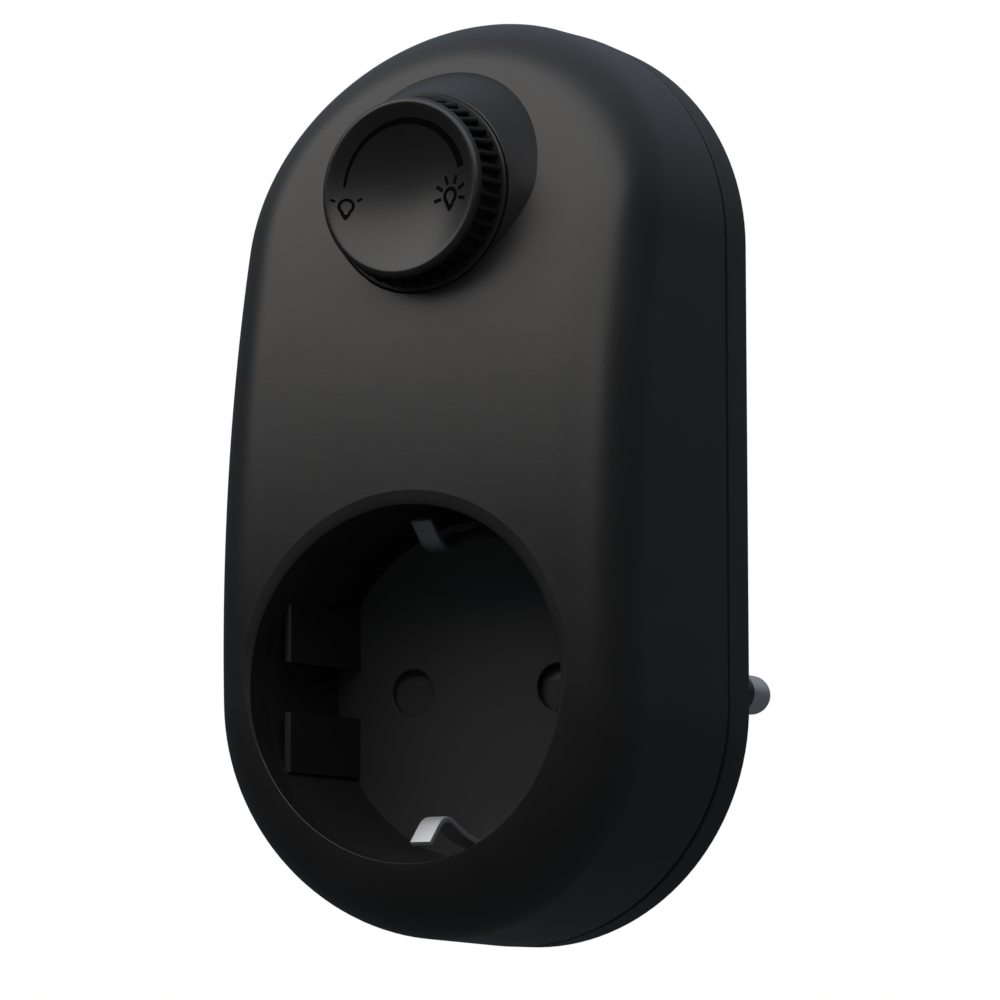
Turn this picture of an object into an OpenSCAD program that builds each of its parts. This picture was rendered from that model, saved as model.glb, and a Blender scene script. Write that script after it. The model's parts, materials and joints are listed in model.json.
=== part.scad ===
// Plug-in dimmer: a wall-plug adapter with an earthed outlet and a rotary brightness knob.
// Millimetres. Origin between the two plug pins, on the plug face; +Y into the wall, +Z up.

/* [Body] */
// Width of the body
body_w = 54; // [52:0.5:60]
// Height of the body
body_h = 106.7; // [105:0.1:116]
// Depth of the body, from the crest of the front to the back plane
body_d = 32.1; // [31.6:0.1:35]
// Radius of the front's vertical curve
front_curve_r = 192; // [175:1:260]
// Height of the front's crest above the outlet axis
crest_rise = 7.2; // [4:0.1:10]
// Radius of the soft edge round the front
edge_r = 7.5; // [6:0.1:9]
// Draft of the side wall, each side
side_draft = 0.5; // [0.2:0.1:0.8]
// Wall of the front housing and of the cover's rim
wall = 2.2; // [1.8:0.1:2.5]
// Distance from the outlet axis down to the bottom edge
bottom_drop = 28.9; // [28.5:0.1:31]
// Height of the rear cover, from the parting line to the back plane
cover_h = 5.2; // [4.8:0.1:6]
// Thickness of the rear cover's floor
cover_floor_t = 2; // [1.6:0.1:2.4]

/* [Outlet] */
// Height of the plug axis above the outlet axis
plug_rise = 2.4; // [0:0.1:3]
// Radius of the outlet's recess
recess_r = 19.4; // [19.2:0.05:19.7]
// Width of the countersink round the recess, at the crest of the front
rim_w = 2; // [1.4:0.1:2.2]
// Depth of that countersink behind the crest
rim_d = 1.25; // [1:0.05:1.4]
// Wall of the socket insert
insert_wall = 1.6; // [1.2:0.1:1.8]
// Depth at which the insert seats behind the front's crest
insert_seat = 3.9; // [3.7:0.1:4.4]
// Thickness of the recess floor
floor_t = 1.2; // [1:0.1:1.5]
// Distance between the pin holes, and between the plug pins
pin_pitch = 19; // [18.6:0.1:19.4]
// Radius of the pin holes
hole_r = 2.7; // [2.6:0.05:2.9]
// Half distance between the guide pads at their front
pad_x = 17; // [16.6:0.1:17.4]
// Taper of the guide pads towards the floor
pad_taper = 0.6; // [0.2:0.1:0.8]
// Set-back of the pads behind the insert's front edge
pad_setback = 0.5; // [0.3:0.1:1]
// Width of the groove between the pads of one side
pad_groove_w = 5.6; // [5:0.1:6]
// Wall of the pads, which are hollow from the front
pad_wall = 0.8; // [0.6:0.05:0.9]
// Depth of the hollow in each pad
pad_hollow = 8; // [6:0.5:10]

/* [Shutter] */
// Thickness of the shutter
shutter_t = 3.5; // [3.1:0.1:3.7]
// Depth of the shutter's bed in the back of the recess floor
shutter_bed = 0.5; // [0.3:0.05:0.6]
// Travel of the shutter from closed to open
shutter_travel = 6; // [5.8:0.1:6.2]
// Cover of the closed shutter round each hole
shutter_margin = 0.7; // [0.5:0.1:0.8]
// Running clearance round the shutter
shutter_gap = 0.3; // [0.2:0.05:0.35]
// Outer radius of the return spring
spring_r = 1.4; // [1.2:0.05:1.5]
// Radius of the spring's wire
spring_wire_r = 0.16; // [0.12:0.01:0.2]
// Length of the spring with the shutter closed
spring_len = 10.6; // [10:0.1:11]
// Turns of the spring
spring_turns = 8; // [6:1:10]

/* [Contacts] */
// Thickness of the contact carrier
carrier_t = 2.6; // [2.2:0.1:2.8]
// Room for the wires between the carrier and the rear cover's floor
carrier_gap = 3.8; // [3.4:0.1:4.4]
// Wall of the tubes that hold the contact sleeves
carrier_tube_wall = 0.95; // [0.8:0.05:1]
// Depth of those tubes behind the carrier's plate
carrier_tube_h = 11; // [9:0.5:11.5]
// Inner radius of the contact sleeves
sleeve_bore_r = 2.45; // [2.42:0.01:2.5]
// Wall of the contact sleeves
sleeve_wall = 0.9; // [0.7:0.05:1]
// Length of the contact sleeves
sleeve_len = 17; // [15.5:0.5:17.5]
// Width of the earth clips
clip_w = 2.6; // [2.2:0.1:3]
// Thickness of the earth strip
clip_t = 0.7; // [0.5:0.05:0.8]
// Gap between the stem of each clip and the round wall
clip_gap = 1.05; // [0.8:0.05:1.4]
// Height of the bend of each clip over its stem
clip_rise = 3.4; // [3:0.1:3.8]
// Width of the earth strap behind the carrier
strap_w = 6; // [5:0.1:7]
// Width of the links cut from strip
link_w = 5; // [4:0.1:5.6]

/* [Plug] */
// Height of the plug boss behind the back plane
boss_h = 20; // [18:0.5:21]
// Radius of the plug boss
boss_r = 18.25; // [18:0.05:18.6]
// Half distance between the boss's side flats
boss_flat = 16.8; // [16.6:0.1:17.2]
// Wall of the plug boss
boss_wall = 2; // [1.6:0.1:2.2]
// Thickness of the plug face
face_t = 4; // [3:0.1:4.4]
// Radius of the plug pins
pin_r = 2.4; // [2.35:0.01:2.45]
// Length of the plug pins in front of the plug face
pin_len = 19; // [18.5:0.1:19.5]
// Half distance between the earth strips on the boss, at their outer faces
strip_reach = 16.7; // [16.4:0.1:17]
// Thickness of the earth strips on the boss
strip_t = 0.9; // [0.7:0.05:1]
// Width of the earth strips on the boss
strip_w = 5; // [4:0.1:5.6]

/* [Knob] */
// Distance of the knob's axis below the top edge
knob_drop = 23.15; // [22.5:0.05:24.5]
// Radius of the knob at its front edge
knob_r = 10.2; // [9.6:0.1:10.6]
// Height of the knob in front of its seat
knob_h = 4.9; // [4.4:0.1:6]
// Radius of the lip at the back of the knob
lip_r = 11.25; // [11:0.05:11.6]
// Thickness of that lip
lip_t = 0.8; // [0.6:0.1:1]
// Radius of the knob's rounded front edge
knob_round = 0.7; // [0.5:0.05:0.75]
// Radius of the dish in the knob's face
dish_r = 9.4; // [8.6:0.1:9.4]
// Depth of the dish
dish_d = 2.3; // [1.6:0.1:2.4]
// Number of ribs round the knob
rib_count = 40; // [30:1:48]
// Depth of the ribs
rib_d = 0.45; // [0.3:0.05:0.6]
// Spread of the ribbed side from its front to the lip
side_spread = 0.75; // [0.4:0.05:0.85]
// Distance from the front's crest back to the knob's seat on the housing
seat_depth = 4.7; // [4.4:0.1:5.2]
// Clearance between the knob and its seat
knob_gap = 0.4; // [0.3:0.05:0.5]
// Radius of the seat on top of the collar
collar_r = 11.65; // [11.65:0.05:12.2]
// Flare of the collar, radius for each millimetre of depth
collar_flare = 0.6; // [0.4:0.05:0.7]
// Radius of the hub behind the knob
hub_r = 4.7; // [4.4:0.1:5]
// Length of that hub
hub_len = 6; // [5:0.1:6.4]
// Clearance between the hub and the potentiometer's bushing
hub_gap = 1; // [0.6:0.1:1.4]
// Radius of the shaft
shaft_r = 3; // [2.8:0.05:3.1]

/* [Dimmer circuit] */
// Thickness of the circuit board
board_t = 1.6; // [1.2:0.1:1.8]
// Height of the cover's posts under the board
standoff_h = 3.2; // [3:0.1:3.6]
// Width of the board below the knob
board_w = 42; // [40:0.5:43]
// Width of the board beside the upper screws
board_top_w = 24; // [20:0.5:24.5]
// Clearance between the board's lower edge and the socket insert
board_gap = 3; // [2:0.1:3.4]
// Clearance between the board's wide part and the upper screw posts
shoulder_gap = 5.4; // [5:0.1:6.4]
// Reach of the board above the potentiometer
board_over = 3; // [2:0.1:4]
// Radius of the potentiometer
pot_r = 8.4; // [8:0.1:8.6]
// Length of the potentiometer's bushing
bushing_len = 5; // [4:0.1:5.4]
// Distance of the choke's and the film capacitor's middle from the board's side
part_edge = 10; // [9.5:0.1:10.4]
// Height of the choke
choke_h = 12.5; // [10:0.1:13]
// Width of the film capacitor
capacitor_w = 17; // [15:0.5:17.5]
// Depth of the film capacitor
capacitor_d = 10; // [8:0.5:11]
// Width of the transistor's body
transistor_w = 10; // [9:0.1:10.4]
// Depth of the transistor's body
transistor_d = 9; // [8:0.1:9.4]
// Thickness of the transistor's body
transistor_t = 4.4; // [4:0.1:4.6]
// Thickness of the heat sink
sink_t = 1.5; // [1.2:0.1:1.8]
// Width of the heat sink
sink_w = 11.5; // [11:0.1:12]
// Depth of the heat sink
sink_h = 13.5; // [12.8:0.1:14]
// Drop of the heat sink below the board's shoulders
sink_drop = 10; // [9:0.1:10.4]
// Radius of the fuse
fuse_r = 2.5; // [2.4:0.05:2.6]
// Length of the fuse
fuse_len = 20; // [18:0.5:20]
// Outer diameter of the insulated wires
wire_d = 2; // [1.6:0.1:2.2]

/* [Fasteners] */
// Radius of the housing screws' shanks
screw_r = 1.4; // [1.2:0.05:1.5]
// Radius of the housing screws' heads
screw_head_r = 2.5; // [2.3:0.1:2.7]
// Radius of the small screws' shanks
small_screw_r = 1; // [0.9:0.05:1.1]
// Radius of the small screws' heads
small_head_r = 1.8; // [1.7:0.05:1.9]
// Radius of the posts that take the housing screws
post_r = 2.6; // [2.4:0.05:2.7]
// Distance of the upper housing screws from the middle
screw_x = 16; // [15.4:0.1:16.4]
// Distance of the upper housing screws below the top edge
screw_drop = 14.8; // [14.4:0.1:15.4]
// Distance of the carrier screws from the middle, across
carrier_screw_x = 8; // [7.6:0.1:8.4]
// Distance of the carrier screws from the outlet axis, up and down
carrier_screw_z = 14; // [13.8:0.1:14.4]

/* [Hidden] */
$fn = 64;
// Clearance between fixed pieces that fit into each other
fit = 0.05;
// Overshoot of cuts
cut = 1;
half_w = body_w / 2;
rear_y = -boss_h;
front_y = rear_y - body_d;
part_y = rear_y - cover_h;
cover_in_y = rear_y - cover_floor_t;
socket_z = -plug_rise;
crest_z = socket_z + crest_rise;
bottom_z = socket_z - bottom_drop;
top_z = bottom_z + body_h;
low_z = bottom_z + half_w;
high_z = top_z - half_w;
inner_half_w = half_w - wall;
// Stack behind the front, along Y
insert_y = front_y + insert_seat;
carrier_back_y = cover_in_y - carrier_gap;
carrier_y = carrier_back_y - carrier_t;
shutter_y = carrier_y - shutter_gap - shutter_t;
floor_back_y = shutter_y - shutter_gap + shutter_bed;
floor_y = floor_back_y - floor_t;
insert_r = recess_r + insert_wall;
clip_stem = recess_r - clip_gap - clip_t / 2;
clip_bend = clip_stem - clip_rise;
carrier_r = insert_r - 0.6;
hole_x = pin_pitch / 2;
// Shutter and its spring, heights above the outlet axis
shutter_low = -hole_r - shutter_margin;
shutter_high = shutter_travel + hole_r + shutter_margin;
shutter_half_w = hole_x + hole_r + 1.4;
spring_low = shutter_low - spring_len;
// Contact sleeves
sleeve_r = sleeve_bore_r + sleeve_wall;
sleeve_lip = 0.6;
sleeve_y = carrier_y + sleeve_lip;
sleeve_end_y = sleeve_y + sleeve_len;
tube_r = sleeve_r + fit + carrier_tube_wall;
tube_end_y = carrier_back_y + carrier_tube_h;
// Plug
boss_in_r = boss_r - boss_wall;
boss_in_flat = boss_flat - boss_wall;
strip_in = strip_reach - strip_t;
boss_in_high = strip_in - fit - boss_wall;
pin_shank_r = pin_r - 0.4;
pin_head_r = pin_r + 1;
pin_head_t = 1.6;
pin_stub_r = 1.2;
pin_stub_len = 2.7;
pin_head_y = -face_t - pin_head_t;
pin_stub_y = pin_head_y - pin_stub_len;
link_t = 0.8;
strap_t = 0.8;
strap_back_y = carrier_back_y + strap_t;
// Knob
knob_z = top_z - knob_drop;
seat_y = front_y + seat_depth;
knob_back_y = seat_y - knob_gap;
knob_front_y = knob_back_y - knob_h;
hub_end_y = knob_back_y + hub_len;
shaft_tip_y = knob_front_y + dish_d + 0.9;
// Circuit board
board_back_y = cover_in_y - standoff_h;
board_y = board_back_y - board_t;
board_z = socket_z + insert_r + board_gap;
screw_z = top_z - screw_drop;
shoulder_z = screw_z - post_r - shoulder_gap;
board_top_z = knob_z + pot_r + board_over;
bushing_y = hub_end_y + hub_gap;
pot_front_y = bushing_y + bushing_len;
pot_wall = 0.8;
bushing_r = shaft_r + 1;
run_fit = 0.05;
rotor_r = pot_r - pot_wall - 0.8;
track_t = 0.8;
track_y = board_y - pot_wall - track_t;
rotor_y = pot_front_y + pot_wall + 0.4;
rotor_t = 0.27 * (board_y - pot_front_y);
wiper_t = 0.3;
// Parts on the board: the fuse at the bottom, the rest shares the height above it
part_gap = 1.2;
fuse_wall = 0.5;
fuse_half = fuse_r + fit + fuse_wall;
fuse_x = -fuse_len / 2;
fuse_z = board_z + part_gap + fuse_half;
fuse_y = board_y - 2 * fuse_half + 0.9;
free_h = shoulder_z - fuse_z - fuse_half;
choke_x = board_w / 2 - part_edge;
choke_r = part_edge / 4 + 0.18 * free_h;
choke_z = fuse_z + fuse_half + 1.5 * part_gap + choke_r;
capacitor_x = choke_x;
capacitor_h = 0.27 * free_h;
capacitor_z = board_z + part_gap + capacitor_h / 2;
sink_z = shoulder_z - sink_drop;
sink_x = board_w / 2 - 0.5 - sink_w;
transistor_x = sink_x + sink_w / 2;
sink_screw_y = board_y - sink_h + 2 * small_head_r;
small_x = capacitor_x - 0.7 * part_edge;
small_low = capacitor_z + capacitor_h / 2;
small_pitch = (knob_z - pot_r - small_low) / 4.6;
small_r = 0.33 * small_pitch;
// Fasteners
low_screw_z = bottom_z + wall + post_r - 0.3;
screw_at = [[screw_x, screw_z], [-screw_x, screw_z], [0, low_screw_z]];
screw_len = 10;
screw_head_t = 1.6;
board_edge = 3;
board_screw_at = [for (s = [-1, 1]) [s * (board_w / 2 - board_edge), shoulder_z - board_edge - 1]];
board_rest_at = [for (s = [-1, 1]) [s * (board_w / 2 - board_edge), board_z + board_edge]];
board_screw_len = 4;
carrier_screw_at = [
    for (s = [-1, 1], t = [-1, 1]) [s * carrier_screw_x, socket_z + t * carrier_screw_z]
];
carrier_post_r = 2.1;
// Outline points: steps in each quarter arc, and down each straight side
arc_steps = 12;
side_steps = 8;
half_count = 2 * arc_steps + side_steps + 1;
ring_count = 2 * half_count - 2;

// Front surface: the depth of the face at a height
function face_y(z) = front_y + front_curve_r - sqrt(pow(front_curve_r, 2) - pow(z - crest_z, 2));

// Right half of the obround outline, from its top to its bottom, set in from the edge
function half_outline(inset) =
    let (r = half_w - inset)
    concat(
        [for (i = [0:arc_steps]) r * [sin(90 * i / arc_steps), cos(90 * i / arc_steps)] + [0, high_z]],
        [for (i = [1:side_steps - 1]) [r, high_z + (low_z - high_z) * i / side_steps]],
        [for (i = [0:arc_steps]) r * [cos(90 * i / arc_steps), -sin(90 * i / arc_steps)] + [0, low_z]]
    );

function outline(inset) =
    let (right = half_outline(inset))
    concat(right, [for (i = [half_count - 2:-1:1]) [-right[i].x, right[i].y]]);

// A ring that follows the front's curve, and a ring in a plane
function curved_ring(inset, depth) = [for (p = outline(inset)) [p.x, face_y(p.y) + depth, p.y]];
function flat_ring(inset, y) = [for (p = outline(inset)) [p.x, y, p.y]];

// Triangles between two rings of n points, the second behind the first
function band_faces(first, n) = [
    for (i = [0:n - 1], half = [0, 1])
        let (a = first + i, b = first + (i + 1) % n)
        half == 0 ? [a, a + n, b + n] : [a, b + n, b]
];

// Closed skin: rounded front that follows the curve, straight side, flat back
module curved_skin(set_in, end_y) {
    round = edge_r - set_in;
    turns = [0:15:90];
    rings = concat(
        [for (t = turns)
            curved_ring(set_in + side_draft + round * (1 - sin(t)), set_in + round * (1 - cos(t)))],
        [flat_ring(set_in, end_y)]
    );
    points = [for (ring = rings, p = ring) p];
    left = function (k) (ring_count - k) % ring_count;
    cap = concat(
        [for (k = [0:half_count - 3]) [k, k + 1, left(k + 1)]],
        [for (k = [1:half_count - 2]) [left(k), k, left(k + 1)]]
    );
    back = [[for (i = [len(points) - 1:-1:len(points) - ring_count]) i]];
    sides = [for (j = [0:len(rings) - 2]) each band_faces(j * ring_count, ring_count)];
    polyhedron(points, concat(cap, sides, back));
}

// Helpers that lay shapes along the depth, or along X
module along_y(y0, y1, r, at = [0, 0]) {
    translate([at.x, y0, at.y]) rotate([-90, 0, 0]) cylinder(h = y1 - y0, r = r);
}
module tube_y(y0, y1, r_out, r_in, at = [0, 0]) {
    difference() {
        along_y(y0, y1, r_out, at);
        along_y(y0 - cut, y1 + cut, r_in, at);
    }
}
module spin_y(profile, at = [0, 0]) {
    translate([at.x, 0, at.y]) rotate([-90, 0, 0]) rotate_extrude() polygon(profile);
}
module slab_y(y0, y1) {
    translate([0, y1, 0]) rotate([90, 0, 0]) linear_extrude(y1 - y0) children();
}
module slab_x(x0, x1) {
    translate([x0, 0, 0]) rotate([90, 0, 90]) linear_extrude(x1 - x0) children();
}
module box(low, high) {
    translate(low) cube(high - low);
}
module obround(inset) {
    for (z = [low_z, high_z]) translate([0, z]) circle(r = half_w - inset);
    translate([inset - half_w, low_z]) square([2 * (half_w - inset), high_z - low_z]);
}

// Outline of a strip of thickness t bent along a path
function side_of(a, b) = let (d = b - a) [-d.y, d.x] / norm(d);
function mitre(path, i) =
    let (
        before = side_of(path[max(i - 1, 0)], path[max(i, 1)]),
        after = side_of(path[min(i, len(path) - 2)], path[min(i + 1, len(path) - 1)]),
        s = before + after
    )
    s * 2 / (s * s);
module bent_strip(path, t) {
    polygon(concat(
        [for (i = [0:len(path) - 1]) path[i] + mitre(path, i) * t / 2],
        [for (i = [len(path) - 1:-1:0]) path[i] - mitre(path, i) * t / 2]
    ));
}

// Round tube swept along points; lead is a direction that the path never follows
function curve_point(p, i, t) =
    let (a = p[max(i - 1, 0)], b = p[i], c = p[i + 1], d = p[min(i + 2, len(p) - 1)])
    0.5 * (2 * b + (c - a) * t + (2 * a - 5 * b + 4 * c - d) * t * t + (3 * b - a - 3 * c + d) * t * t * t);
function smooth_path(p, steps) =
    concat([for (i = [0:len(p) - 2], k = [0:steps - 1]) curve_point(p, i, k / steps)], [p[len(p) - 1]]);
function unit(v) = v / norm(v);
module swept_tube(path, r, sides, lead) {
    n = len(path);
    points = [
        for (i = [0:n - 1])
            let (
                along = unit(path[min(i + 1, n - 1)] - path[max(i - 1, 0)]),
                u = unit(lead - (lead * along) * along),
                v = cross(along, u)
            )
            for (k = [0:sides - 1])
                path[i] + r * (cos(360 * k / sides) * u + sin(360 * k / sides) * v)
    ];
    faces = [
        for (i = [0:n - 2], k = [0:sides - 1], half = [0, 1])
            let (a = i * sides + k, b = i * sides + (k + 1) % sides)
            half == 0 ? [a, a + sides, b + sides] : [a, b + sides, b]
    ];
    ends = [[for (k = [0:sides - 1]) k], [for (k = [sides - 1:-1:0]) (n - 1) * sides + k]];
    polyhedron(points, concat(faces, ends));
}

// Countersink on the outlet's axis; the curved front meets it at the top and the sides
module rim_bevel() {
    slope = rim_w / rim_d;
    past = 0.3;
    translate([0, front_y - cut, socket_z]) rotate([-90, 0, 0])
        cylinder(h = cut + rim_d + past, r1 = recess_r + slope * (rim_d + cut), r2 = recess_r - slope * past);
}

module front_housing() {
    socket_at = [0, socket_z];
    knob_at = [0, knob_z];
    collar_end_y = face_y(knob_z + collar_r) + wall;
    collar_start_y = seat_y - cut;
    color("#26241f") difference() {
        union() {
            curved_skin(0, part_y);
            translate([0, collar_start_y, knob_z]) rotate([-90, 0, 0])
                cylinder(
                    h = collar_end_y - collar_start_y,
                    r1 = collar_r - collar_flare * cut,
                    r2 = collar_r + collar_flare * (collar_end_y - seat_y)
                );
        }
        difference() {
            curved_skin(wall, part_y + cut);
            along_y(front_y, insert_y, insert_r, socket_at);
            for (at = screw_at) along_y(front_y, part_y + 2 * cut, post_r, at);
        }
        for (at = screw_at) along_y(part_y - screw_len, part_y + cut, screw_r + fit, at);
        along_y(front_y - cut, floor_y, recess_r, socket_at);
        along_y(insert_y, part_y, insert_r + fit, socket_at);
        rim_bevel();
        along_y(front_y - cut, seat_y, collar_r + 0.2, knob_at);
        along_y(front_y - cut, board_y, hub_r + 0.5, knob_at);
    }
}

module rear_cover() {
    pin_at = [for (s = [-1, 1]) [s * hole_x, 0]];
    lip_t = 1.2;
    lip_h = 2;
    lip_x = inner_half_w - 2 * fit;
    lip_z = [low_z + 4, high_z - 4];
    press_r = 1.8;
    color("#1d1e20") difference() {
        union() {
            difference() {
                slab_y(part_y, rear_y) obround(0);
                slab_y(part_y - cut, cover_in_y) obround(wall);
            }
            intersection() {
                along_y(cover_in_y, 0, boss_r);
                box([-boss_flat, cover_in_y - cut, -boss_r - cut], [boss_flat, cut, boss_r + cut]);
            }
            for (s = [-1, 1]) translate([s * (lip_x - lip_t / 2), 0, 0])
                box([-lip_t / 2, part_y - lip_h, lip_z[0]], [lip_t / 2, cover_in_y + fit, lip_z[1]]);
            for (at = screw_at) along_y(part_y, cover_in_y + fit, screw_head_r + 1, at);
            for (at = concat(board_screw_at, board_rest_at))
                along_y(board_back_y, cover_in_y + fit, small_screw_r + 1.2, at);
            for (s = [-1, 1], t = [-1, 1])
                along_y(carrier_back_y, cover_in_y + fit, press_r, [s * 13.5, socket_z + t * 12.5]);
        }
        // Room in the boss for the contact sleeves, kept clear of the strips' grooves
        intersection() {
            along_y(cover_in_y - cut, -face_t, boss_in_r);
            box([-boss_in_flat, cover_in_y - 2 * cut, -boss_in_high], [boss_in_flat, 0, boss_in_high]);
        }
        for (at = pin_at) along_y(-face_t - cut, cut, pin_shank_r + fit, at);
        for (s = [0, 180]) rotate([0, s, 0])
            box([-strip_w / 2 - fit, cover_in_y - cut, strip_in - fit],
                [strip_w / 2 + fit, cut, boss_r + cut]);
        for (at = screw_at) {
            along_y(part_y - cut, rear_y + cut, screw_r + fit, at);
            along_y(rear_y - screw_head_t, rear_y + cut, screw_head_r + fit, at);
        }
        for (at = board_screw_at) along_y(board_back_y - cut, cover_in_y, small_screw_r + fit, at);
    }
}

module knob() {
    dish_sphere_r = (pow(dish_r, 2) + pow(dish_d, 2)) / (2 * dish_d);
    base_r = knob_r - rib_d;
    round_y = knob_front_y + knob_round;
    lip_y = knob_back_y - lip_t;
    side_slope = side_spread / (lip_y - round_y);
    core = concat(
        [[0, knob_back_y], [0, knob_front_y], [knob_r - knob_round, knob_front_y]],
        [for (t = [15:15:90])
            [knob_r - knob_round + knob_round * sin(t), round_y - knob_round * cos(t)]],
        [[knob_r, round_y + 0.2], [base_r, round_y + 0.5], [base_r + side_spread, lip_y]],
        [[lip_r, lip_y], [lip_r, knob_back_y]]
    );
    rib_half = 180 / rib_count;
    root_r = base_r - 0.3;
    crest_r = knob_r - 0.06;
    far_r = crest_r + side_spread + 0.3;
    rib_steps = [[-0.65, root_r], [-0.3, far_r], [0.3, far_r], [0.65, root_r]];
    ribs = [
        for (i = [0:rib_count - 1], step = rib_steps)
            let (a = 2 * rib_half * i + step[0] * rib_half)
            step[1] * [cos(a), sin(a)]
    ];
    color("#2b2925") difference() {
        union() {
            spin_y(core, [0, knob_z]);
            intersection() {
                translate([0, 0, knob_z]) slab_y(round_y, lip_y + fit) polygon(ribs);
                translate([0, round_y - cut, knob_z]) rotate([-90, 0, 0])
                    cylinder(
                        h = lip_y - round_y + 2 * cut,
                        r1 = crest_r - side_slope * cut,
                        r2 = crest_r + side_spread + side_slope * cut
                    );
            }
            along_y(knob_back_y - fit, hub_end_y, hub_r, [0, knob_z]);
        }
        translate([0, knob_front_y + dish_d - dish_sphere_r, knob_z]) sphere(r = dish_sphere_r, $fn = 128);
        along_y(shaft_tip_y - 0.1, hub_end_y + cut, shaft_r + 0.02, [0, knob_z]);
    }
}

module socket_insert() {
    socket_at = [0, socket_z];
    pad_y = insert_y + pad_setback;
    groove = pad_groove_w / 2;
    rail_x = shutter_half_w + shutter_gap;
    rail_t = 1.2;
    stop_z = socket_z + shutter_high + shutter_gap;
    seat_z = socket_z + spring_low - fit;
    color("#34322e") difference() {
        union() {
            difference() {
                along_y(insert_y, floor_back_y, insert_r, socket_at);
                along_y(insert_y - cut, floor_y, recess_r, socket_at);
            }
            // Guide pads, with a groove between the two of each side
            intersection() {
                along_y(insert_y, floor_back_y - cut / 2, recess_r + insert_wall / 2, socket_at);
                for (s = [0, 180], t = [-1, 1]) translate([0, 0, socket_z]) rotate([0, s, 0])
                    translate([0, 0, t * (groove + recess_r / 2)]) linear_extrude(recess_r, center = true)
                        polygon([
                            [pad_x, pad_y], [recess_r + insert_wall, pad_y],
                            [recess_r + insert_wall, floor_y + cut / 2],
                            [pad_x - pad_taper, floor_y + cut / 2]
                        ]);
            }
            // Rails, stop and spring seat of the shutter, and the carrier's posts
            for (s = [-1, 1]) translate([s * (rail_x + rail_t / 2), 0, socket_z])
                box([-rail_t / 2, floor_back_y - fit, shutter_low - shutter_travel],
                    [rail_t / 2, carrier_y, shutter_high]);
            box([-5, floor_back_y - fit, stop_z], [5, carrier_y, stop_z + 1.2]);
            box([-3, floor_back_y - fit, seat_z - 1.2], [3, carrier_y, seat_z]);
            for (at = carrier_screw_at) along_y(floor_back_y - fit, carrier_y, carrier_post_r, at);
        }
        // Hollow in each pad, and the shutter's bed behind the floor
        intersection() {
            along_y(insert_y - cut, pad_y + pad_hollow, recess_r - 0.3, socket_at);
            for (s = [0, 180], t = [0, 1]) translate([0, 0, socket_z]) rotate([0, s, 0]) mirror([0, 0, t])
                box([pad_x + pad_wall, pad_y - cut / 2, groove + pad_wall],
                    [recess_r, pad_y + pad_hollow + cut, recess_r]);
        }
        translate([0, 0, socket_z])
            box([-rail_x - 0.1, floor_back_y - shutter_bed, shutter_low - shutter_travel - shutter_gap],
                [rail_x + 0.1, floor_back_y + 0.1, shutter_high + shutter_gap + 0.1]);
        for (s = [-1, 1]) along_y(floor_y - cut, floor_back_y + cut, hole_r, [s * hole_x, socket_z]);
        for (at = carrier_screw_at) along_y(floor_back_y + 0.6, carrier_y + cut, small_screw_r + fit, at);
        for (s = [0, 180]) translate([0, 0, socket_z]) rotate([0, s, 0])
            box([-clip_w / 2 - 0.2, floor_y - cut, clip_stem - clip_t / 2 - 0.2],
                [clip_w / 2 + 0.2, floor_back_y + cut, clip_stem + clip_t / 2 + 0.2]);
    }
}

module shutter() {
    ramp_d = 1.8;
    window_r = hole_r + 0.1;
    window_z = socket_z + shutter_travel;
    ramp_z = socket_z + hole_r / 3;
    corner = 1.2;
    color("#3a3834") difference() {
        slab_y(shutter_y, shutter_y + shutter_t) polygon([
            for (s = [[1, 1], [1, -1], [-1, -1], [-1, 1]], flip = [0, 1])
                let (
                    x = shutter_half_w,
                    z = s.y > 0 ? shutter_high : shutter_low,
                    first = (s.x * s.y > 0) != (flip == 0)
                )
                [s.x * (x - (first ? 0 : corner)), socket_z + z - s.y * (first ? corner : 0)]
        ]);
        for (s = [-1, 1]) {
            along_y(shutter_y - cut, shutter_y + shutter_t + cut, window_r, [s * hole_x, window_z]);
            // Slope that a pin pushes, deepest beside the window
            slab_x(s * hole_x - hole_r, s * hole_x + hole_r) polygon([
                [shutter_y - cut, ramp_z],
                [shutter_y, ramp_z],
                [shutter_y + ramp_d, window_z],
                [shutter_y - cut, window_z]
            ]);
        }
    }
}

module shutter_spring() {
    steps = 10;
    mid_r = spring_r - spring_wire_r;
    mid_y = (floor_back_y + carrier_y) / 2;
    low = socket_z + spring_low + spring_wire_r + fit;
    rise = spring_len - 2 * (spring_wire_r + fit);
    path = [
        for (i = [0:steps * spring_turns])
            let (a = 360 * i / steps)
            [mid_r * cos(a), mid_y + mid_r * sin(a), low + rise * i / (steps * spring_turns)]
    ];
    color("#b9bcc0") swept_tube(path, spring_wire_r, 6, [0, 0, 1]);
}

module contact_carrier() {
    socket_at = [0, socket_z];
    color("#e4e0d6") difference() {
        union() {
            along_y(carrier_y, carrier_back_y, carrier_r, socket_at);
            for (s = [-1, 1]) along_y(carrier_y, tube_end_y, tube_r, [s * hole_x, socket_z]);
        }
        for (s = [-1, 1]) {
            along_y(carrier_y - cut, tube_end_y, hole_r, [s * hole_x, socket_z]);
            along_y(sleeve_y - fit, tube_end_y + cut, sleeve_r + fit, [s * hole_x, socket_z]);
        }
        for (at = carrier_screw_at) along_y(carrier_y - cut, carrier_back_y + cut, small_screw_r + fit, at);
        for (s = [0, 180]) translate([0, 0, socket_z]) rotate([0, s, 0])
            box([-clip_w / 2 - 0.2, carrier_y - cut, clip_stem - clip_t / 2 - 0.2],
                [clip_w / 2 + 0.2, carrier_back_y + cut, carrier_r + cut]);
    }
}

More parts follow.
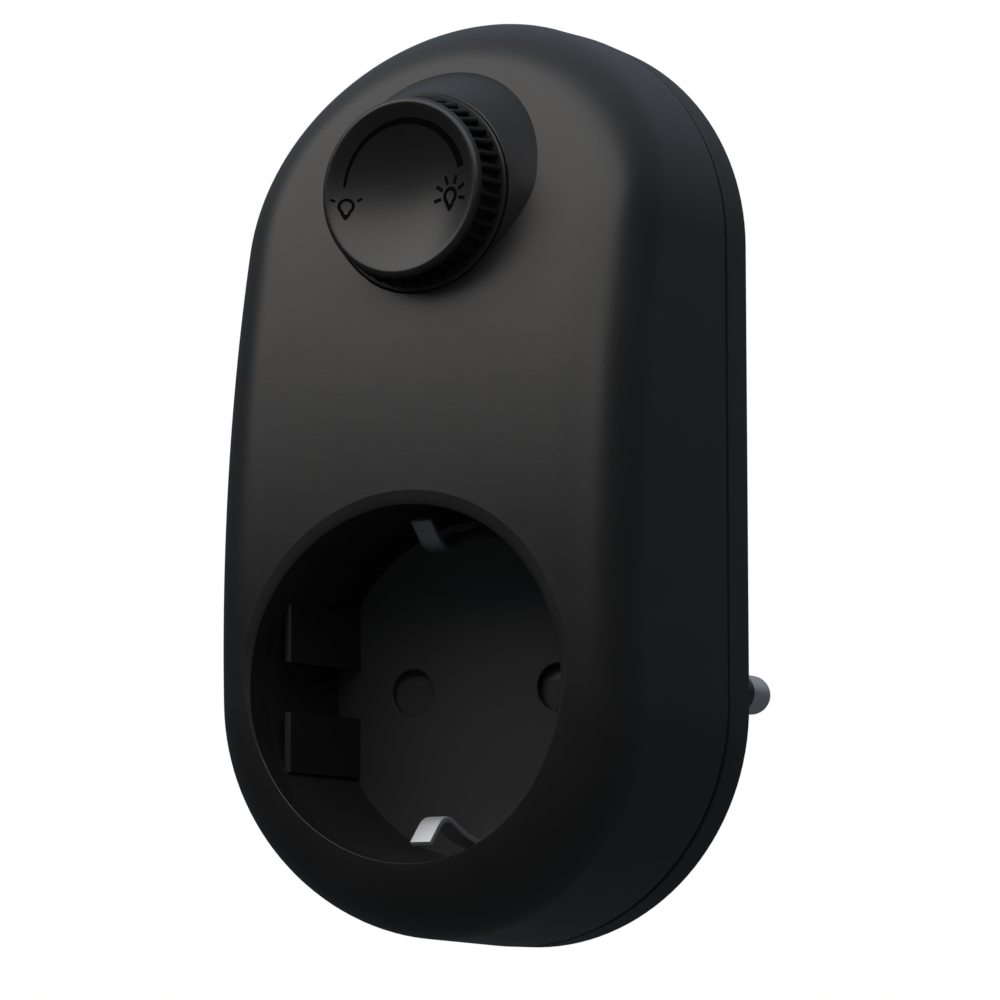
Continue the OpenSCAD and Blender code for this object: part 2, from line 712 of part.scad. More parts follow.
module contact_sleeve(side) {
    slit = 0.8;
    color("#c9a54e") difference() {
        tube_y(sleeve_y, sleeve_end_y, sleeve_r, sleeve_bore_r, [side * hole_x, socket_z]);
        translate([side * hole_x, 0, socket_z])
            box([-slit / 2, sleeve_y - cut, -sleeve_r - cut], [slit / 2, sleeve_end_y + cut, 0]);
    }
}
module line_contact() { contact_sleeve(1); }
module neutral_contact() { contact_sleeve(-1); }

// Strip from the back of the neutral sleeve to the stub of the neutral pin
module neutral_link() {
    step_z = sleeve_r + 1.6;
    path = [
        [sleeve_end_y + link_t / 2, socket_z - sleeve_r + 0.4],
        [sleeve_end_y + link_t / 2, step_z],
        [pin_head_y - link_t / 2, step_z],
        [pin_head_y - link_t / 2, -pin_stub_r - 1]
    ];
    color("#c9a54e") difference() {
        slab_x(-hole_x - link_w / 2, -hole_x + link_w / 2) bent_strip(path, link_t);
        along_y(pin_head_y - link_t - cut / 2, pin_head_y + cut, pin_stub_r + fit, [-hole_x, 0]);
    }
}

module earth_bracket() {
    tip = [insert_y + 0.7, clip_stem];
    bend = [tip.x + 3.3, clip_bend];
    stem = [floor_y - 0.6, clip_stem];
    foot = [carrier_back_y + strap_t / 2, clip_stem];
    color("#8f9296") translate([0, 0, socket_z]) {
        for (s = [0, 1]) mirror([0, 0, s]) {
            slab_x(-clip_w / 2, clip_w / 2)
                bent_strip([tip, bend, [bend.x + 5, clip_stem - 1], stem, foot], clip_t);
        }
        box([-strap_w / 2, carrier_back_y, -clip_stem - clip_t / 2],
            [strap_w / 2, strap_back_y, clip_stem + clip_t / 2]);
    }
}

// Contact strip in the groove of the plug boss, with a foot on the earth strap
module boss_strip(up) {
    foot_len = 4;
    color("#c7c9cc") rotate([0, up ? 0 : 180, 0]) {
        box([-strip_w / 2, strap_back_y, strip_in], [strip_w / 2, -1.2, strip_reach]);
        box([-strip_w / 2, strap_back_y, strip_in - foot_len],
            [strip_w / 2, strap_back_y + link_t, strip_reach]);
    }
}
module upper_earth_strip() { boss_strip(true); }
module lower_earth_strip() { boss_strip(false); }

module plug_pin(side) {
    dome = [for (t = [15:15:90]) [pin_r * cos(t), pin_len - pin_r + pin_r * sin(t)]];
    profile = concat(
        [[0, pin_stub_y], [pin_stub_r, pin_stub_y], [pin_stub_r, pin_head_y], [pin_head_r, pin_head_y]],
        [[pin_head_r, -face_t], [pin_shank_r, -face_t], [pin_shank_r, 0]],
        [[pin_r, 0], [pin_r, pin_len - pin_r]],
        [for (p = dome) [max(p.x, 0), p.y]]
    );
    color("#cfd2d6") spin_y(profile, [side * hole_x, 0]);
}
module line_pin() { plug_pin(1); }
module neutral_pin() { plug_pin(-1); }

module circuit_board() {
    color("#2f6b3a") difference() {
        slab_y(board_y, board_back_y) {
            translate([-board_w / 2, board_z]) square([board_w, shoulder_z - board_z]);
            translate([-board_top_w / 2, board_z]) square([board_top_w, board_top_z - board_z]);
        }
        for (at = board_screw_at) along_y(board_y - cut, board_back_y + cut, small_screw_r + fit, at);
    }
}

module pot_body() {
    at = [0, knob_z];
    color("#9a9da1") difference() {
        union() {
            along_y(pot_front_y, board_y, pot_r, at);
            along_y(bushing_y, pot_front_y + fit, bushing_r, at);
        }
        along_y(pot_front_y + pot_wall, board_y - pot_wall, pot_r - pot_wall, at);
        along_y(bushing_y - cut, pot_front_y + pot_wall + cut, shaft_r + run_fit, at);
    }
}

module pot_track() {
    color("#4a3020") tube_y(track_y, track_y + track_t, rotor_r, shaft_r, [0, knob_z]);
}

module pot_rotor() {
    color("#d8d8d2") {
        along_y(shaft_tip_y, rotor_y + rotor_t, shaft_r, [0, knob_z]);
        along_y(rotor_y, rotor_y + rotor_t, rotor_r, [0, knob_z]);
    }
}

// Sprung fingers under the rotor that touch the track
module pot_wiper() {
    arm_z = 1.6;
    tip = track_y - 0.15;
    path = [
        [rotor_y + rotor_t + wiper_t / 2, shaft_r * 0.4],
        [rotor_y + rotor_t + wiper_t / 2, rotor_r - 2.4],
        [tip - wiper_t / 2, rotor_r - 0.8]
    ];
    color("#c9a54e") translate([0, 0, knob_z]) slab_x(-arm_z, arm_z) bent_strip(path, wiper_t);
}

module choke_core() {
    at = [-choke_x, choke_z];
    flange_t = 1.4;
    post = choke_r * 0.5;
    color("#3b3b3d") spin_y([
        [0, board_y - choke_h], [choke_r, board_y - choke_h], [choke_r, board_y - choke_h + flange_t],
        [post, board_y - choke_h + flange_t], [post, board_y - flange_t], [choke_r, board_y - flange_t],
        [choke_r, board_y], [0, board_y]
    ], at);
}

// Turns of wire between the choke's flanges
module choke_winding() {
    flange_t = 1.4;
    turns = 9;
    inner = choke_r * 0.5 + fit;
    low = board_y - choke_h + flange_t + fit;
    pitch = (choke_h - 2 * flange_t - 2 * fit) / turns;
    outer = choke_r * 0.83;
    outline = [
        for (k = [0:turns - 1], t = [0:45:180])
            [outer - pitch / 2 + pitch / 2 * sin(t), low + pitch * (k + 0.5 - cos(t) / 2)]
    ];
    ends = [[inner, low + pitch * turns], [inner, low]];
    color("#a8622c") spin_y(concat(outline, ends), [-choke_x, choke_z]);
}

module leads(xs, z, y0, r = 0.35) {
    for (x = xs) along_y(y0, board_y, r, [x, z]);
}

module film_capacitor() {
    lift = 0.6;
    half = capacitor_w / 2;
    color("#c8b23a") {
        box([capacitor_x - half, board_y - lift - capacitor_d, capacitor_z - capacitor_h / 2],
            [capacitor_x + half, board_y - lift, capacitor_z + capacitor_h / 2]);
        leads([capacitor_x - half + 1.2, capacitor_x + half - 1.2], capacitor_z, board_y - lift - fit);
    }
}

module transistor() {
    lift = 3.4;
    half = transistor_w / 2;
    lead_z = sink_z - transistor_t / 2;
    color("#1b1b1d") {
        difference() {
            box([transistor_x - half, board_y - lift - transistor_d, sink_z - transistor_t],
                [transistor_x + half, board_y - lift, sink_z]);
            sink_screw_hole(sink_z - transistor_t - cut, sink_z + cut);
        }
        translate([transistor_x, 0, 0]) for (k = [-1:1])
            box([2.54 * k - 0.4, board_y - lift - fit, lead_z - 0.25],
                [2.54 * k + 0.4, board_y, lead_z + 0.25]);
    }
}

module sink_screw_hole(z0, z1) {
    translate([transistor_x, sink_screw_y, z0]) cylinder(h = z1 - z0, r = small_screw_r + fit);
}
module heat_sink() {
    color("#c3c6ca") difference() {
        box([sink_x, board_y - sink_h, sink_z], [sink_x + sink_w, board_y, sink_z + sink_t]);
        sink_screw_hole(sink_z - cut, sink_z + sink_t + cut);
    }
}

// Screw and clip bar that press the transistor to the heat sink
module heat_sink_screw() {
    head_t = 1.2;
    bar_t = 0.6;
    bar_z = sink_z - transistor_t;
    color("#b0b3b7") {
        translate([transistor_x, sink_screw_y, sink_z + sink_t]) cylinder(h = head_t, r = small_head_r);
        translate([transistor_x, sink_screw_y, bar_z - bar_t / 2])
            cylinder(h = transistor_t + bar_t / 2 + sink_t + fit, r = small_screw_r);
        box([transistor_x - 2, sink_screw_y - small_screw_r - 0.4, bar_z - bar_t],
            [transistor_x + 2, sink_screw_y + 3.6, bar_z]);
    }
}

module fuse_part(x0, x1, r) {
    translate([fuse_x + x0, fuse_y, fuse_z]) rotate([0, 90, 0]) cylinder(h = x1 - x0, r = r);
}
fuse_cap_len = 5;
module fuse_tube() {
    inner = fuse_len / 2 - fuse_cap_len;
    color("#dfe8ea") fuse_part(-inner, inner, fuse_r - 0.2);
}
module fuse_caps() {
    inner = fuse_len / 2 - fuse_cap_len;
    color("#c7c9cc") {
        fuse_part(inner, fuse_len / 2, fuse_r);
        fuse_part(-fuse_len / 2, -inner, fuse_r);
    }
}
module fuse_clips() {
    clip_len = 3.4;
    mid = fuse_len / 2 - fuse_cap_len / 2;
    color("#c9a54e") for (s = [-1, 1]) difference() {
        union() {
            fuse_part(s * mid - clip_len / 2, s * mid + clip_len / 2, fuse_half);
            box([fuse_x + s * mid - clip_len / 2, fuse_y, fuse_z - 1.2],
                [fuse_x + s * mid + clip_len / 2, board_y, fuse_z + 1.2]);
        }
        fuse_part(s * mid - clip_len, s * mid + clip_len, fuse_r + fit);
        box([fuse_x + s * mid - clip_len, fuse_y - fuse_r - cut, fuse_z - fuse_r * 0.7],
            [fuse_x + s * mid + clip_len, fuse_y, fuse_z + fuse_r * 0.7]);
    }
}

// Small axial parts that stand on their two leads
module axial_part(x, z, r, len) {
    lift = r + 0.5;
    translate([x - len / 2, board_y - lift, z]) rotate([0, 90, 0]) cylinder(h = len, r = r);
    leads([x - len / 2 + 0.4, x + len / 2 - 0.4], z, board_y - lift, 0.3);
}
module resistors() {
    color("#c2a878") for (k = [0:2])
        axial_part(small_x, small_low + (k + 0.8) * small_pitch, small_r, 6.4);
}
module diode() {
    color("#2a2a2c") axial_part(small_x, small_low + 3.8 * small_pitch, 0.9 * small_r, 4.6);
}

// Wires: from their own ends in the boss, up behind the board to its back
wire_y = board_back_y + 0.75 * wire_d;
wire_top_z = board_z + board_edge;
wire_low_z = boss_in_high - 2.2 * wire_d;
module wire(ends, x) {
    run = [
        [x, rear_y - cover_floor_t / 2, wire_low_z], [x, wire_y, boss_in_high],
        [x, wire_y, boss_in_high + 2 * wire_d], [x, wire_y, wire_top_z - 0.75 * wire_d],
        [x, wire_y - 0.3 * wire_d, wire_top_z], [x, board_back_y + 3 * fit, wire_top_z]
    ];
    swept_tube(smooth_path(concat(ends, run), 4), wire_d / 2, 8, [1, 0, 0]);
}
module line_in_wire() {
    x = hole_x + 0.2 * wire_d;
    stub_y = pin_stub_y + pin_stub_len / 2;
    color("#7a3b20") wire([
        [hole_x, stub_y, pin_stub_r + 0.1 * wire_d], [hole_x, stub_y, 2.25 * wire_d],
        [x, stub_y - 1.75 * wire_d, 4 * wire_d], [x, rear_y + 3 * wire_d, wire_low_z]
    ], x);
}
module sleeve_wire(start_x, x) {
    wire([
        [start_x, sleeve_end_y - 0.7 * wire_d, socket_z + sleeve_r + 0.15 * wire_d],
        [start_x, sleeve_end_y - 0.8 * wire_d, 2.3 * wire_d],
        [x, sleeve_end_y - 2.5 * wire_d, 4 * wire_d], [x, rear_y + 1.5 * wire_d, wire_low_z]
    ], x);
}
module line_out_wire() {
    color("#1f1f21") sleeve_wire(hole_x - wire_d / 2, hole_x - 1.5 * wire_d);
}
module neutral_wire() {
    color("#2a4f8f") sleeve_wire(-hole_x + wire_d / 2, -hole_x + wire_d / 2);
}

// Screws along Y: head at the start, driven the way that dir points
module screw(head_y, dir, head_r, head_t, r, len, at) {
    translate([at.x, head_y, at.y]) rotate([-90 * dir, 0, 0]) difference() {
        union() {
            cylinder(h = head_t, r = head_r);
            cylinder(h = head_t + len, r = r);
        }
        for (a = [0, 90]) rotate([0, 0, a])
            box([-head_r * 0.6, -head_r * 0.12, -cut], [head_r * 0.6, head_r * 0.12, head_t * 0.5]);
    }
}
module housing_screws() {
    color("#a9acb0") for (at = screw_at)
        screw(rear_y, -1, screw_head_r, screw_head_t, screw_r, cover_h - screw_head_t + screw_len - 1, at);
}
module board_screws() {
    head_t = 1.2;
    color("#a9acb0") for (at = board_screw_at)
        screw(board_y - head_t, 1, small_head_r, head_t, small_screw_r, board_screw_len, at);
}
module carrier_screws() {
    head_t = 1.2;
    len = carrier_back_y - floor_back_y - 1;
    color("#a9acb0") for (at = carrier_screw_at)
        screw(carrier_back_y + head_t, -1, small_head_r, head_t, small_screw_r, len, at);
}

front_housing();
rear_cover();
knob();
socket_insert();
shutter();
shutter_spring();
contact_carrier();
line_contact();
neutral_contact();
neutral_link();
earth_bracket();
upper_earth_strip();
lower_earth_strip();
line_pin();
neutral_pin();
circuit_board();
pot_body();
pot_track();
pot_rotor();
pot_wiper();
choke_core();
choke_winding();
film_capacitor();
transistor();
heat_sink();
heat_sink_screw();
fuse_tube();
fuse_caps();
fuse_clips();
resistors();
diode();
line_in_wire();
line_out_wire();
neutral_wire();
housing_screws();
board_screws();
carrier_screws();
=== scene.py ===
import json
import math
import bmesh
import bpy
from mathutils import Matrix, Vector
from mathutils.geometry import delaunay_2d_cdt


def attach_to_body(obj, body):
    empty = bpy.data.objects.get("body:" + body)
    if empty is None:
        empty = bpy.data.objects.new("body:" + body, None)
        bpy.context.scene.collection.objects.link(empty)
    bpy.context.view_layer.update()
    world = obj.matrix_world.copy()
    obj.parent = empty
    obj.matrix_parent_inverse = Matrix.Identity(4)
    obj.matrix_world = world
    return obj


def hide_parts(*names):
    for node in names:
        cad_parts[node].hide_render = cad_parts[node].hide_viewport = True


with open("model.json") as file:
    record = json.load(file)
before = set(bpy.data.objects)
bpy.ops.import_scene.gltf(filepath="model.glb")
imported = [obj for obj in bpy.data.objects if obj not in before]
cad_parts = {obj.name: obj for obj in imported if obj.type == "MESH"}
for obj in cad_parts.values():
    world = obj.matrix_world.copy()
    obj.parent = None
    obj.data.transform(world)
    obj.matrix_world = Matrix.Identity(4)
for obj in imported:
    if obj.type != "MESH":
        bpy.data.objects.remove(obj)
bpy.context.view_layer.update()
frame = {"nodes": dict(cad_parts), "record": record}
scene = bpy.context.scene
scene.view_settings.view_transform = "Standard"
mm = 0.001
print("frame loaded,", len(frame["nodes"]), "nodes")

# Outer form shared by the two shells, in millimetres
caseForm = {
    "halfWidth": 27.0,
    "topCentre": 48.4,
    "lowCentre": -4.3,
    "crestY": -52.1,
    "crestZ": 4.8,
    "curve": 192.0,
    "edge": 7.5,
    "draft": 0.5,
    "wall": 2.2,
    "partingY": -25.2,
    "rearY": -20.0,
    "arcSteps": 64,
    "sideSteps": 28,
}
socketZ = -2.4
knobZ = 52.25


# Shader groups and materials
def addNode(tree, kind, **values):
    node = tree.nodes.new(kind)
    for key, value in values.items():
        if key in node.inputs:
            node.inputs[key].default_value = value
        else:
            setattr(node, key, value)
    return node


def wire(tree, *rows):
    # each row is a node and its output, then a node and its input
    for source, output, target, socket in rows:
        tree.links.new(source.outputs[output], target.inputs[socket])


def newGroup(name, kind, inputs, outputs):
    tree = bpy.data.node_groups.new(name, kind)
    for side, sockets in (("INPUT", inputs), ("OUTPUT", outputs)):
        for label, sort in sockets.items():
            tree.interface.new_socket(label, in_out=side, socket_type="NodeSocket" + sort)
    return tree, addNode(tree, "NodeGroupInput"), addNode(tree, "NodeGroupOutput")


def spreadValue(tree, source, low, high, start=0.0, end=1.0):
    spread = addNode(tree, "ShaderNodeMapRange")
    for label, value in (("From Min", start), ("From Max", end), ("To Min", low), ("To Max", high)):
        spread.inputs[label].default_value = value
    tree.links.new(source, spread.inputs["Value"])
    return spread.outputs["Result"]


def grainGroup():
    # fine moulded grain: a normal for the surface and a slow tone for colour and gloss
    sizes = dict.fromkeys(("Grain Size", "Grain Depth", "Tone Size"), "Float")
    results = {"Tone": "Float", "Normal": "Vector"}
    tree, start, end = newGroup("mouldedGrain", "ShaderNodeTree", sizes, results)
    place = addNode(tree, "ShaderNodeTexCoord")
    fine = addNode(tree, "ShaderNodeTexNoise", Detail=3.0, Roughness=0.6)
    slow = addNode(tree, "ShaderNodeTexNoise", Detail=4.0, Roughness=0.55)
    bump = addNode(tree, "ShaderNodeBump", Distance=0.0001)
    wire(
        tree,
        (place, "Object", fine, "Vector"), (place, "Object", slow, "Vector"),
        (start, "Grain Size", fine, "Scale"), (start, "Tone Size", slow, "Scale"),
        (start, "Grain Depth", bump, "Strength"), (fine, "Fac", bump, "Height"),
        (bump, "Normal", end, "Normal"),
    )
    tone = spreadValue(tree, slow.outputs["Fac"], 0.0, 1.0, 0.3, 0.7)
    tree.links.new(tone, end.inputs["Tone"])
    return tree


def brushGroup():
    # drawn or brushed metal: streaks along one axis
    sizes = {"Stretch": "Vector", "Depth": "Float"}
    results = {"Streak": "Float", "Normal": "Vector"}
    tree, start, end = newGroup("drawnMetal", "ShaderNodeTree", sizes, results)
    place = addNode(tree, "ShaderNodeTexCoord")
    stretch = addNode(tree, "ShaderNodeMapping")
    streak = addNode(tree, "ShaderNodeTexNoise", Scale=1.0, Detail=5.0, Roughness=0.6)
    bump = addNode(tree, "ShaderNodeBump", Distance=0.00005)
    wire(
        tree,
        (place, "Object", stretch, "Vector"), (start, "Stretch", stretch, "Scale"),
        (stretch, "Vector", streak, "Vector"), (start, "Depth", bump, "Strength"),
        (streak, "Fac", bump, "Height"), (streak, "Fac", end, "Streak"), (bump, "Normal", end, "Normal"),
    )
    return tree


mouldedGrain = grainGroup()
drawnMetal = brushGroup()


def newMaterial(name):
    material = bpy.data.materials.new(name)
    material.use_nodes = True
    tree = material.node_tree
    return material, tree, tree.nodes["Principled BSDF"]


def blendColours(tree, share, first, second):
    # each colour is a plain one, or the socket that it comes from
    mix = addNode(tree, "ShaderNodeMix", data_type="RGBA")
    for socket, colour in ((mix.inputs[6], first), (mix.inputs[7], second)):
        if isinstance(colour, tuple):
            socket.default_value = (*colour, 1.0)
        else:
            tree.links.new(colour, socket)
    tree.links.new(share, mix.inputs[0])
    return mix.outputs[2]


def pastDepth(tree, depth):
    # one where a point lies beyond this depth, zero before it
    place = addNode(tree, "ShaderNodeTexCoord")
    split = addNode(tree, "ShaderNodeSeparateXYZ")
    past = addNode(tree, "ShaderNodeMath", operation="GREATER_THAN")
    past.inputs[1].default_value = depth
    wire(tree, (place, "Object", split, "Vector"), (split, "Y", past, 0))
    return past.outputs[0]


def grainNode(tree, size, depth, tone):
    sizes = {"Grain Size": size, "Grain Depth": depth, "Tone Size": tone}
    return addNode(tree, "ShaderNodeGroup", node_tree=mouldedGrain, **sizes)


def dressShader(tree, shader, colour, pattern, tone, rough):
    tree.links.new(colour, shader.inputs["Base Color"])
    tree.links.new(spreadValue(tree, pattern.outputs[tone], *rough), shader.inputs["Roughness"])
    wire(tree, (pattern, "Normal", shader, "Normal"))


# grain of a plastic whose look gives none
plainGrain = {"grain": 2600.0, "depth": 0.12, "tone": 90.0}


def mouldedPlastic(name, look):
    material, tree, shader = newMaterial(name)
    grain = grainNode(tree, *(look.get(key, plain) for key, plain in plainGrain.items()))
    colour = blendColours(tree, grain.outputs["Tone"], look["dark"], look["light"])
    # painted light: a lighter colour on the same plastic past a depth
    if "ground" in look:  # another colour past a depth
        depth, ground = look["ground"]
        colour = blendColours(tree, pastDepth(tree, depth), colour, ground)
    dressShader(tree, shader, colour, grain, "Tone", look["rough"])
    shader.inputs["Specular IOR Level"].default_value = look.get("gloss", 0.5)
    return material


def sheetMetal(name, look):
    material, tree, shader = newMaterial(name)
    stretch = look.get("stretch", (900.0, 60.0, 900.0))
    brush = addNode(tree, "ShaderNodeGroup", node_tree=drawnMetal, Stretch=stretch, Depth=0.1)
    colour = blendColours(tree, brush.outputs["Streak"], look["dark"], look["light"])
    shader.inputs["Metallic"].default_value = 1.0
    if "coat" in look:  # insulation before a depth, bare metal past it
        depth, coat = look["coat"]
        bare = pastDepth(tree, depth)
        colour = blendColours(tree, bare, coat, colour)
        tree.links.new(bare, shader.inputs["Metallic"])
    dressShader(tree, shader, colour, brush, "Streak", look["rough"])
    return material


def paint(dark, light, rough, **more):
    # two tones that the pattern runs between, and the spread of roughness
    return {"dark": dark, "light": light, "rough": rough, **more}


plasticLooks = {
    "housing_plastic": paint(
        (0.0064, 0.0060, 0.0056), (0.0082, 0.0077, 0.0071), (0.36, 0.41), grain=2400.0, depth=0.10),
    "cover_plastic": paint(
        (0.0060, 0.0061, 0.0062), (0.0076, 0.0077, 0.0079), (0.44, 0.50), grain=2200.0, depth=0.16),
    "knob_plastic": paint(
        (0.0062, 0.0059, 0.0056), (0.0080, 0.0076, 0.0071), (0.33, 0.38), grain=3000.0, depth=0.08),
    # ribs: the knob's plastic painted darker, as painted shade on and between the ribs, and less glossy
    "knob_grip_painted_shade": paint(
        (0.0036, 0.0036, 0.0034), (0.0046, 0.0045, 0.0043), (0.46, 0.52), grain=3000.0, depth=0.08,
        gloss=0.22),
    # the outlet's floor, past its front face, is painted lighter than the walls: painted light from the
    # front
    "insert_plastic": paint(
        (0.0042, 0.0046, 0.0048), (0.0055, 0.0059, 0.0061), (0.48, 0.54), grain=2400.0, depth=0.14,
        ground=(-0.0334, (0.0170, 0.0166, 0.0160))),
    "shutter_plastic": paint((0.0165, 0.0161, 0.0155), (0.0192, 0.0188, 0.0181), (0.46, 0.52)),
    "knob_print": paint((0.0012, 0.0012, 0.0012), (0.0018, 0.0018, 0.0018), (0.7, 0.8), gloss=0.03),
    "carrier_plastic": paint((0.62, 0.60, 0.54), (0.70, 0.68, 0.62), (0.45, 0.55)),
    "board_laminate": paint((0.020, 0.110, 0.035), (0.032, 0.150, 0.050), (0.30, 0.42)),
    "track_carbon": paint((0.020, 0.016, 0.014), (0.035, 0.028, 0.024), (0.60, 0.75)),
    "rotor_plastic": paint((0.55, 0.55, 0.52), (0.66, 0.66, 0.62), (0.40, 0.50)),
    "ferrite": paint((0.030, 0.030, 0.032), (0.055, 0.055, 0.058), (0.55, 0.70)),
    "capacitor_case": paint((0.52, 0.40, 0.035), (0.62, 0.49, 0.055), (0.35, 0.45)),
    "component_black": paint((0.012, 0.012, 0.013), (0.022, 0.022, 0.023), (0.45, 0.60)),
    "resistor_coat": paint((0.48, 0.34, 0.18), (0.58, 0.42, 0.24), (0.40, 0.52)),
    "brown_wire": paint((0.130, 0.042, 0.016), (0.170, 0.058, 0.022), (0.38, 0.48)),
    "black_wire": paint((0.012, 0.012, 0.012), (0.020, 0.020, 0.020), (0.38, 0.48)),
    "blue_wire": paint((0.018, 0.070, 0.270), (0.026, 0.095, 0.340), (0.38, 0.48)),
}
metalLooks = {
    "spring_steel": paint((0.42, 0.43, 0.45), (0.56, 0.57, 0.59), (0.22, 0.34)),
    "contact_brass": paint((0.60, 0.40, 0.13), (0.74, 0.52, 0.19), (0.24, 0.38)),
    "earth_steel": paint(
        (0.54, 0.555, 0.59), (0.68, 0.695, 0.73), (0.60, 0.74), stretch=(1800.0, 90.0, 90.0)),
    "plated_brass": paint(
        (0.74, 0.74, 0.73), (0.86, 0.86, 0.85), (0.24, 0.36), stretch=(140.0, 1900.0, 140.0)),
    "coated_pin": paint(
        (0.86, 0.86, 0.85), (0.95, 0.95, 0.94), (0.24, 0.36), stretch=(140.0, 1900.0, 140.0),
        coat=(0.0127, (0.0068, 0.0069, 0.0070))),
    "pot_case": paint((0.50, 0.50, 0.51), (0.62, 0.62, 0.63), (0.30, 0.42)),
    "copper_wire": paint((0.55, 0.20, 0.08), (0.70, 0.28, 0.12), (0.24, 0.36)),
    "sink_aluminium": paint((0.66, 0.67, 0.68), (0.78, 0.79, 0.80), (0.30, 0.44)),
    "screw_steel": paint((0.40, 0.40, 0.41), (0.56, 0.56, 0.57), (0.28, 0.44)),
}
finishes = {slot: mouldedPlastic(slot, look) for slot, look in plasticLooks.items()}
finishes.update({slot: sheetMetal(slot, look) for slot, look in metalLooks.items()})


def fuseGlass():
    material, tree, shader = newMaterial("fuse_glass")
    grain = grainNode(tree, 300.0, 0.02, 200.0)
    tree.links.new(spreadValue(tree, grain.outputs["Tone"], 0.02, 0.08), shader.inputs["Roughness"])
    shader.inputs["Base Color"].default_value = (0.92, 0.96, 0.95, 1.0)
    shader.inputs["Transmission Weight"].default_value = 0.9
    return material


finishes["fuse_glass"] = fuseGlass()
for row in frame["record"]["subparts"]:
    for holder in frame["nodes"][row["node"]].material_slots:
        holder.material = finishes[row["material_slot"]]
print("materials:", len(finishes))


# Mesh helpers, in millimetres
def newShape():
    return {"points": [], "faces": [], "sharp": set()}


def addLoop(shape, ring, sharp=False):
    first = len(shape["points"])
    shape["points"].extend(ring)
    loop = list(range(first, first + len(ring)))
    if sharp:
        shape["sharp"].update(tuple(sorted(pair)) for pair in zip(loop, loop[1:] + loop[:1]))
    return loop


def bridge(shape, first, second):
    count = len(first)
    for i in range(count):
        j = (i + 1) % count
        shape["faces"].append((first[i], first[j], second[j], second[i]))


def loft(shape, rings, start=None):
    loops = [start] if start else []
    for ring in rings:
        loops.append(addLoop(shape, ring))
    for a, b in zip(loops, loops[1:]):
        bridge(shape, a, b)
    return loops


def insideLoop(x, z, corners):
    inside = False
    for (ax, az), (bx, bz) in zip(corners, corners[1:] + corners[:1]):
        if (az > z) != (bz > z) and x < ax + (z - az) * (bx - ax) / (bz - az):
            inside = not inside
    return inside


def fillFace(shape, outer, holes=(), lift=None, inside=()):
    # triangles between loops seen along the depth, with free points laid on the surface that lift gives
    points = shape["points"]
    flat, owner, edges, outlines = [], [], [], []
    for loop in [outer, *holes]:
        first = len(flat)
        corners = [(points[k][0], points[k][2]) for k in loop]
        outlines.append(corners)
        flat.extend(Vector(c) for c in corners)
        owner.extend(loop)
        edges.extend((first + i, first + (i + 1) % len(loop)) for i in range(len(loop)))
    for spot in inside:
        flat.append(Vector(spot))
        owner.append(None)
    made = delaunay_2d_cdt(flat, edges, [], 0, 1e-6)
    known = []
    for spot, source in zip(made[0], made[3]):
        held = [owner[k] for k in source if owner[k] is not None]
        if held:
            known.append(held[0])
        else:
            known.append(len(points))
            points.append((spot[0], lift(spot[0], spot[1]), spot[1]))
    for face in made[2]:
        x = sum(made[0][k][0] for k in face) / 3
        z = sum(made[0][k][1] for k in face) / 3
        if insideLoop(x, z, outlines[0]) and not any(insideLoop(x, z, hole) for hole in outlines[1:]):
            shape["faces"].append(tuple(known[k] for k in face))


def circleRing(x, z, radius, y, count):
    ring = []
    for i in range(count):
        a = 2 * math.pi * i / count
        px, pz = x + radius * math.sin(a), z + radius * math.cos(a)
        ring.append((px, y(px, pz) if callable(y) else y, pz))
    return ring


def lathe(shape, profile, x, z, count):
    # profile of (radius, depth) from one point on the axis to the other
    loops = []
    for radius, y in profile:
        ring = circleRing(x, z, radius, y, count) if radius > 1e-6 else [(x, y, z)]
        loops.append(addLoop(shape, ring))
    for a, b in zip(loops, loops[1:]):
        if len(a) == 1 or len(b) == 1:
            tip, ring = (a[0], b) if len(a) == 1 else (b[0], a)
            for i in range(count):
                shape["faces"].append((tip, ring[i], ring[(i + 1) % count]))
        else:
            bridge(shape, a, b)


def turnSteps(turns):
    # sine and cosine of each turn in degrees
    return [(math.sin(math.radians(turn)), math.cos(math.radians(turn))) for turn in turns]


def ease(share):
    share = min(max(share, 0.0), 1.0)
    return share * share * (3 - 2 * share)


def atDepth(corners, y):
    return [(x, y, z) for x, z in corners]


def boxCorners(half, low, high):
    return [(-half, low), (-half, high), (half, high), (half, low)]


def insetLoop(corners, distance):
    # the same outline moved inwards, for an outline that runs clockwise
    moved = []
    count = len(corners)
    for i in range(count):
        before, here, after = (Vector(corners[(i + k) % count]) for k in (-1, 0, 1))
        first = (here - before).normalized()
        second = (after - here).normalized()
        normal = Vector((first.y + second.y, -first.x - second.x))
        scale = max(normal.length_squared / 2, 0.3)
        moved.append(tuple(here + normal * (distance / scale)))
    return moved


def roundedPath(corners, radius, steps=5):
    path = [corners[0]]
    for before, here, after in zip(corners, corners[1:], corners[2:]):
        here = Vector(here)
        back = Vector(before) - here
        ahead = Vector(after) - here
        reach = min(radius, back.length * 0.45, ahead.length * 0.45)
        start = here + back.normalized() * reach
        end = here + ahead.normalized() * reach
        for i in range(steps + 1):
            t = i / steps
            path.append(tuple((1 - t) ** 2 * start + 2 * t * (1 - t) * here + t * t * end))
    path.append(corners[-1])
    return path


def bandOutline(path, widths):
    # both sides of a band along a line of points, out on one side and back on the other
    path = [Vector(p) for p in path]
    left, right = [], []
    for i, (here, width) in enumerate(zip(path, widths)):
        ahead = path[min(i + 1, len(path) - 1)] - path[max(i - 1, 0)]
        side = Vector((-ahead.y, ahead.x)).normalized() * width / 2
        left.append(here + side)
        right.append(here - side)
    return left + right[::-1]


def closeBand(shape, first, second):
    bridge(shape, first, second)
    last = len(first) - 1
    for loop in (first, second):
        for i in range(len(first) // 2 - 1):
            shape["faces"].append((loop[i], loop[i + 1], loop[last - i - 1], loop[last - i]))


def newObject(name, data):
    made = bpy.data.objects.new(name, data)
    scene.collection.objects.link(made)
    return made


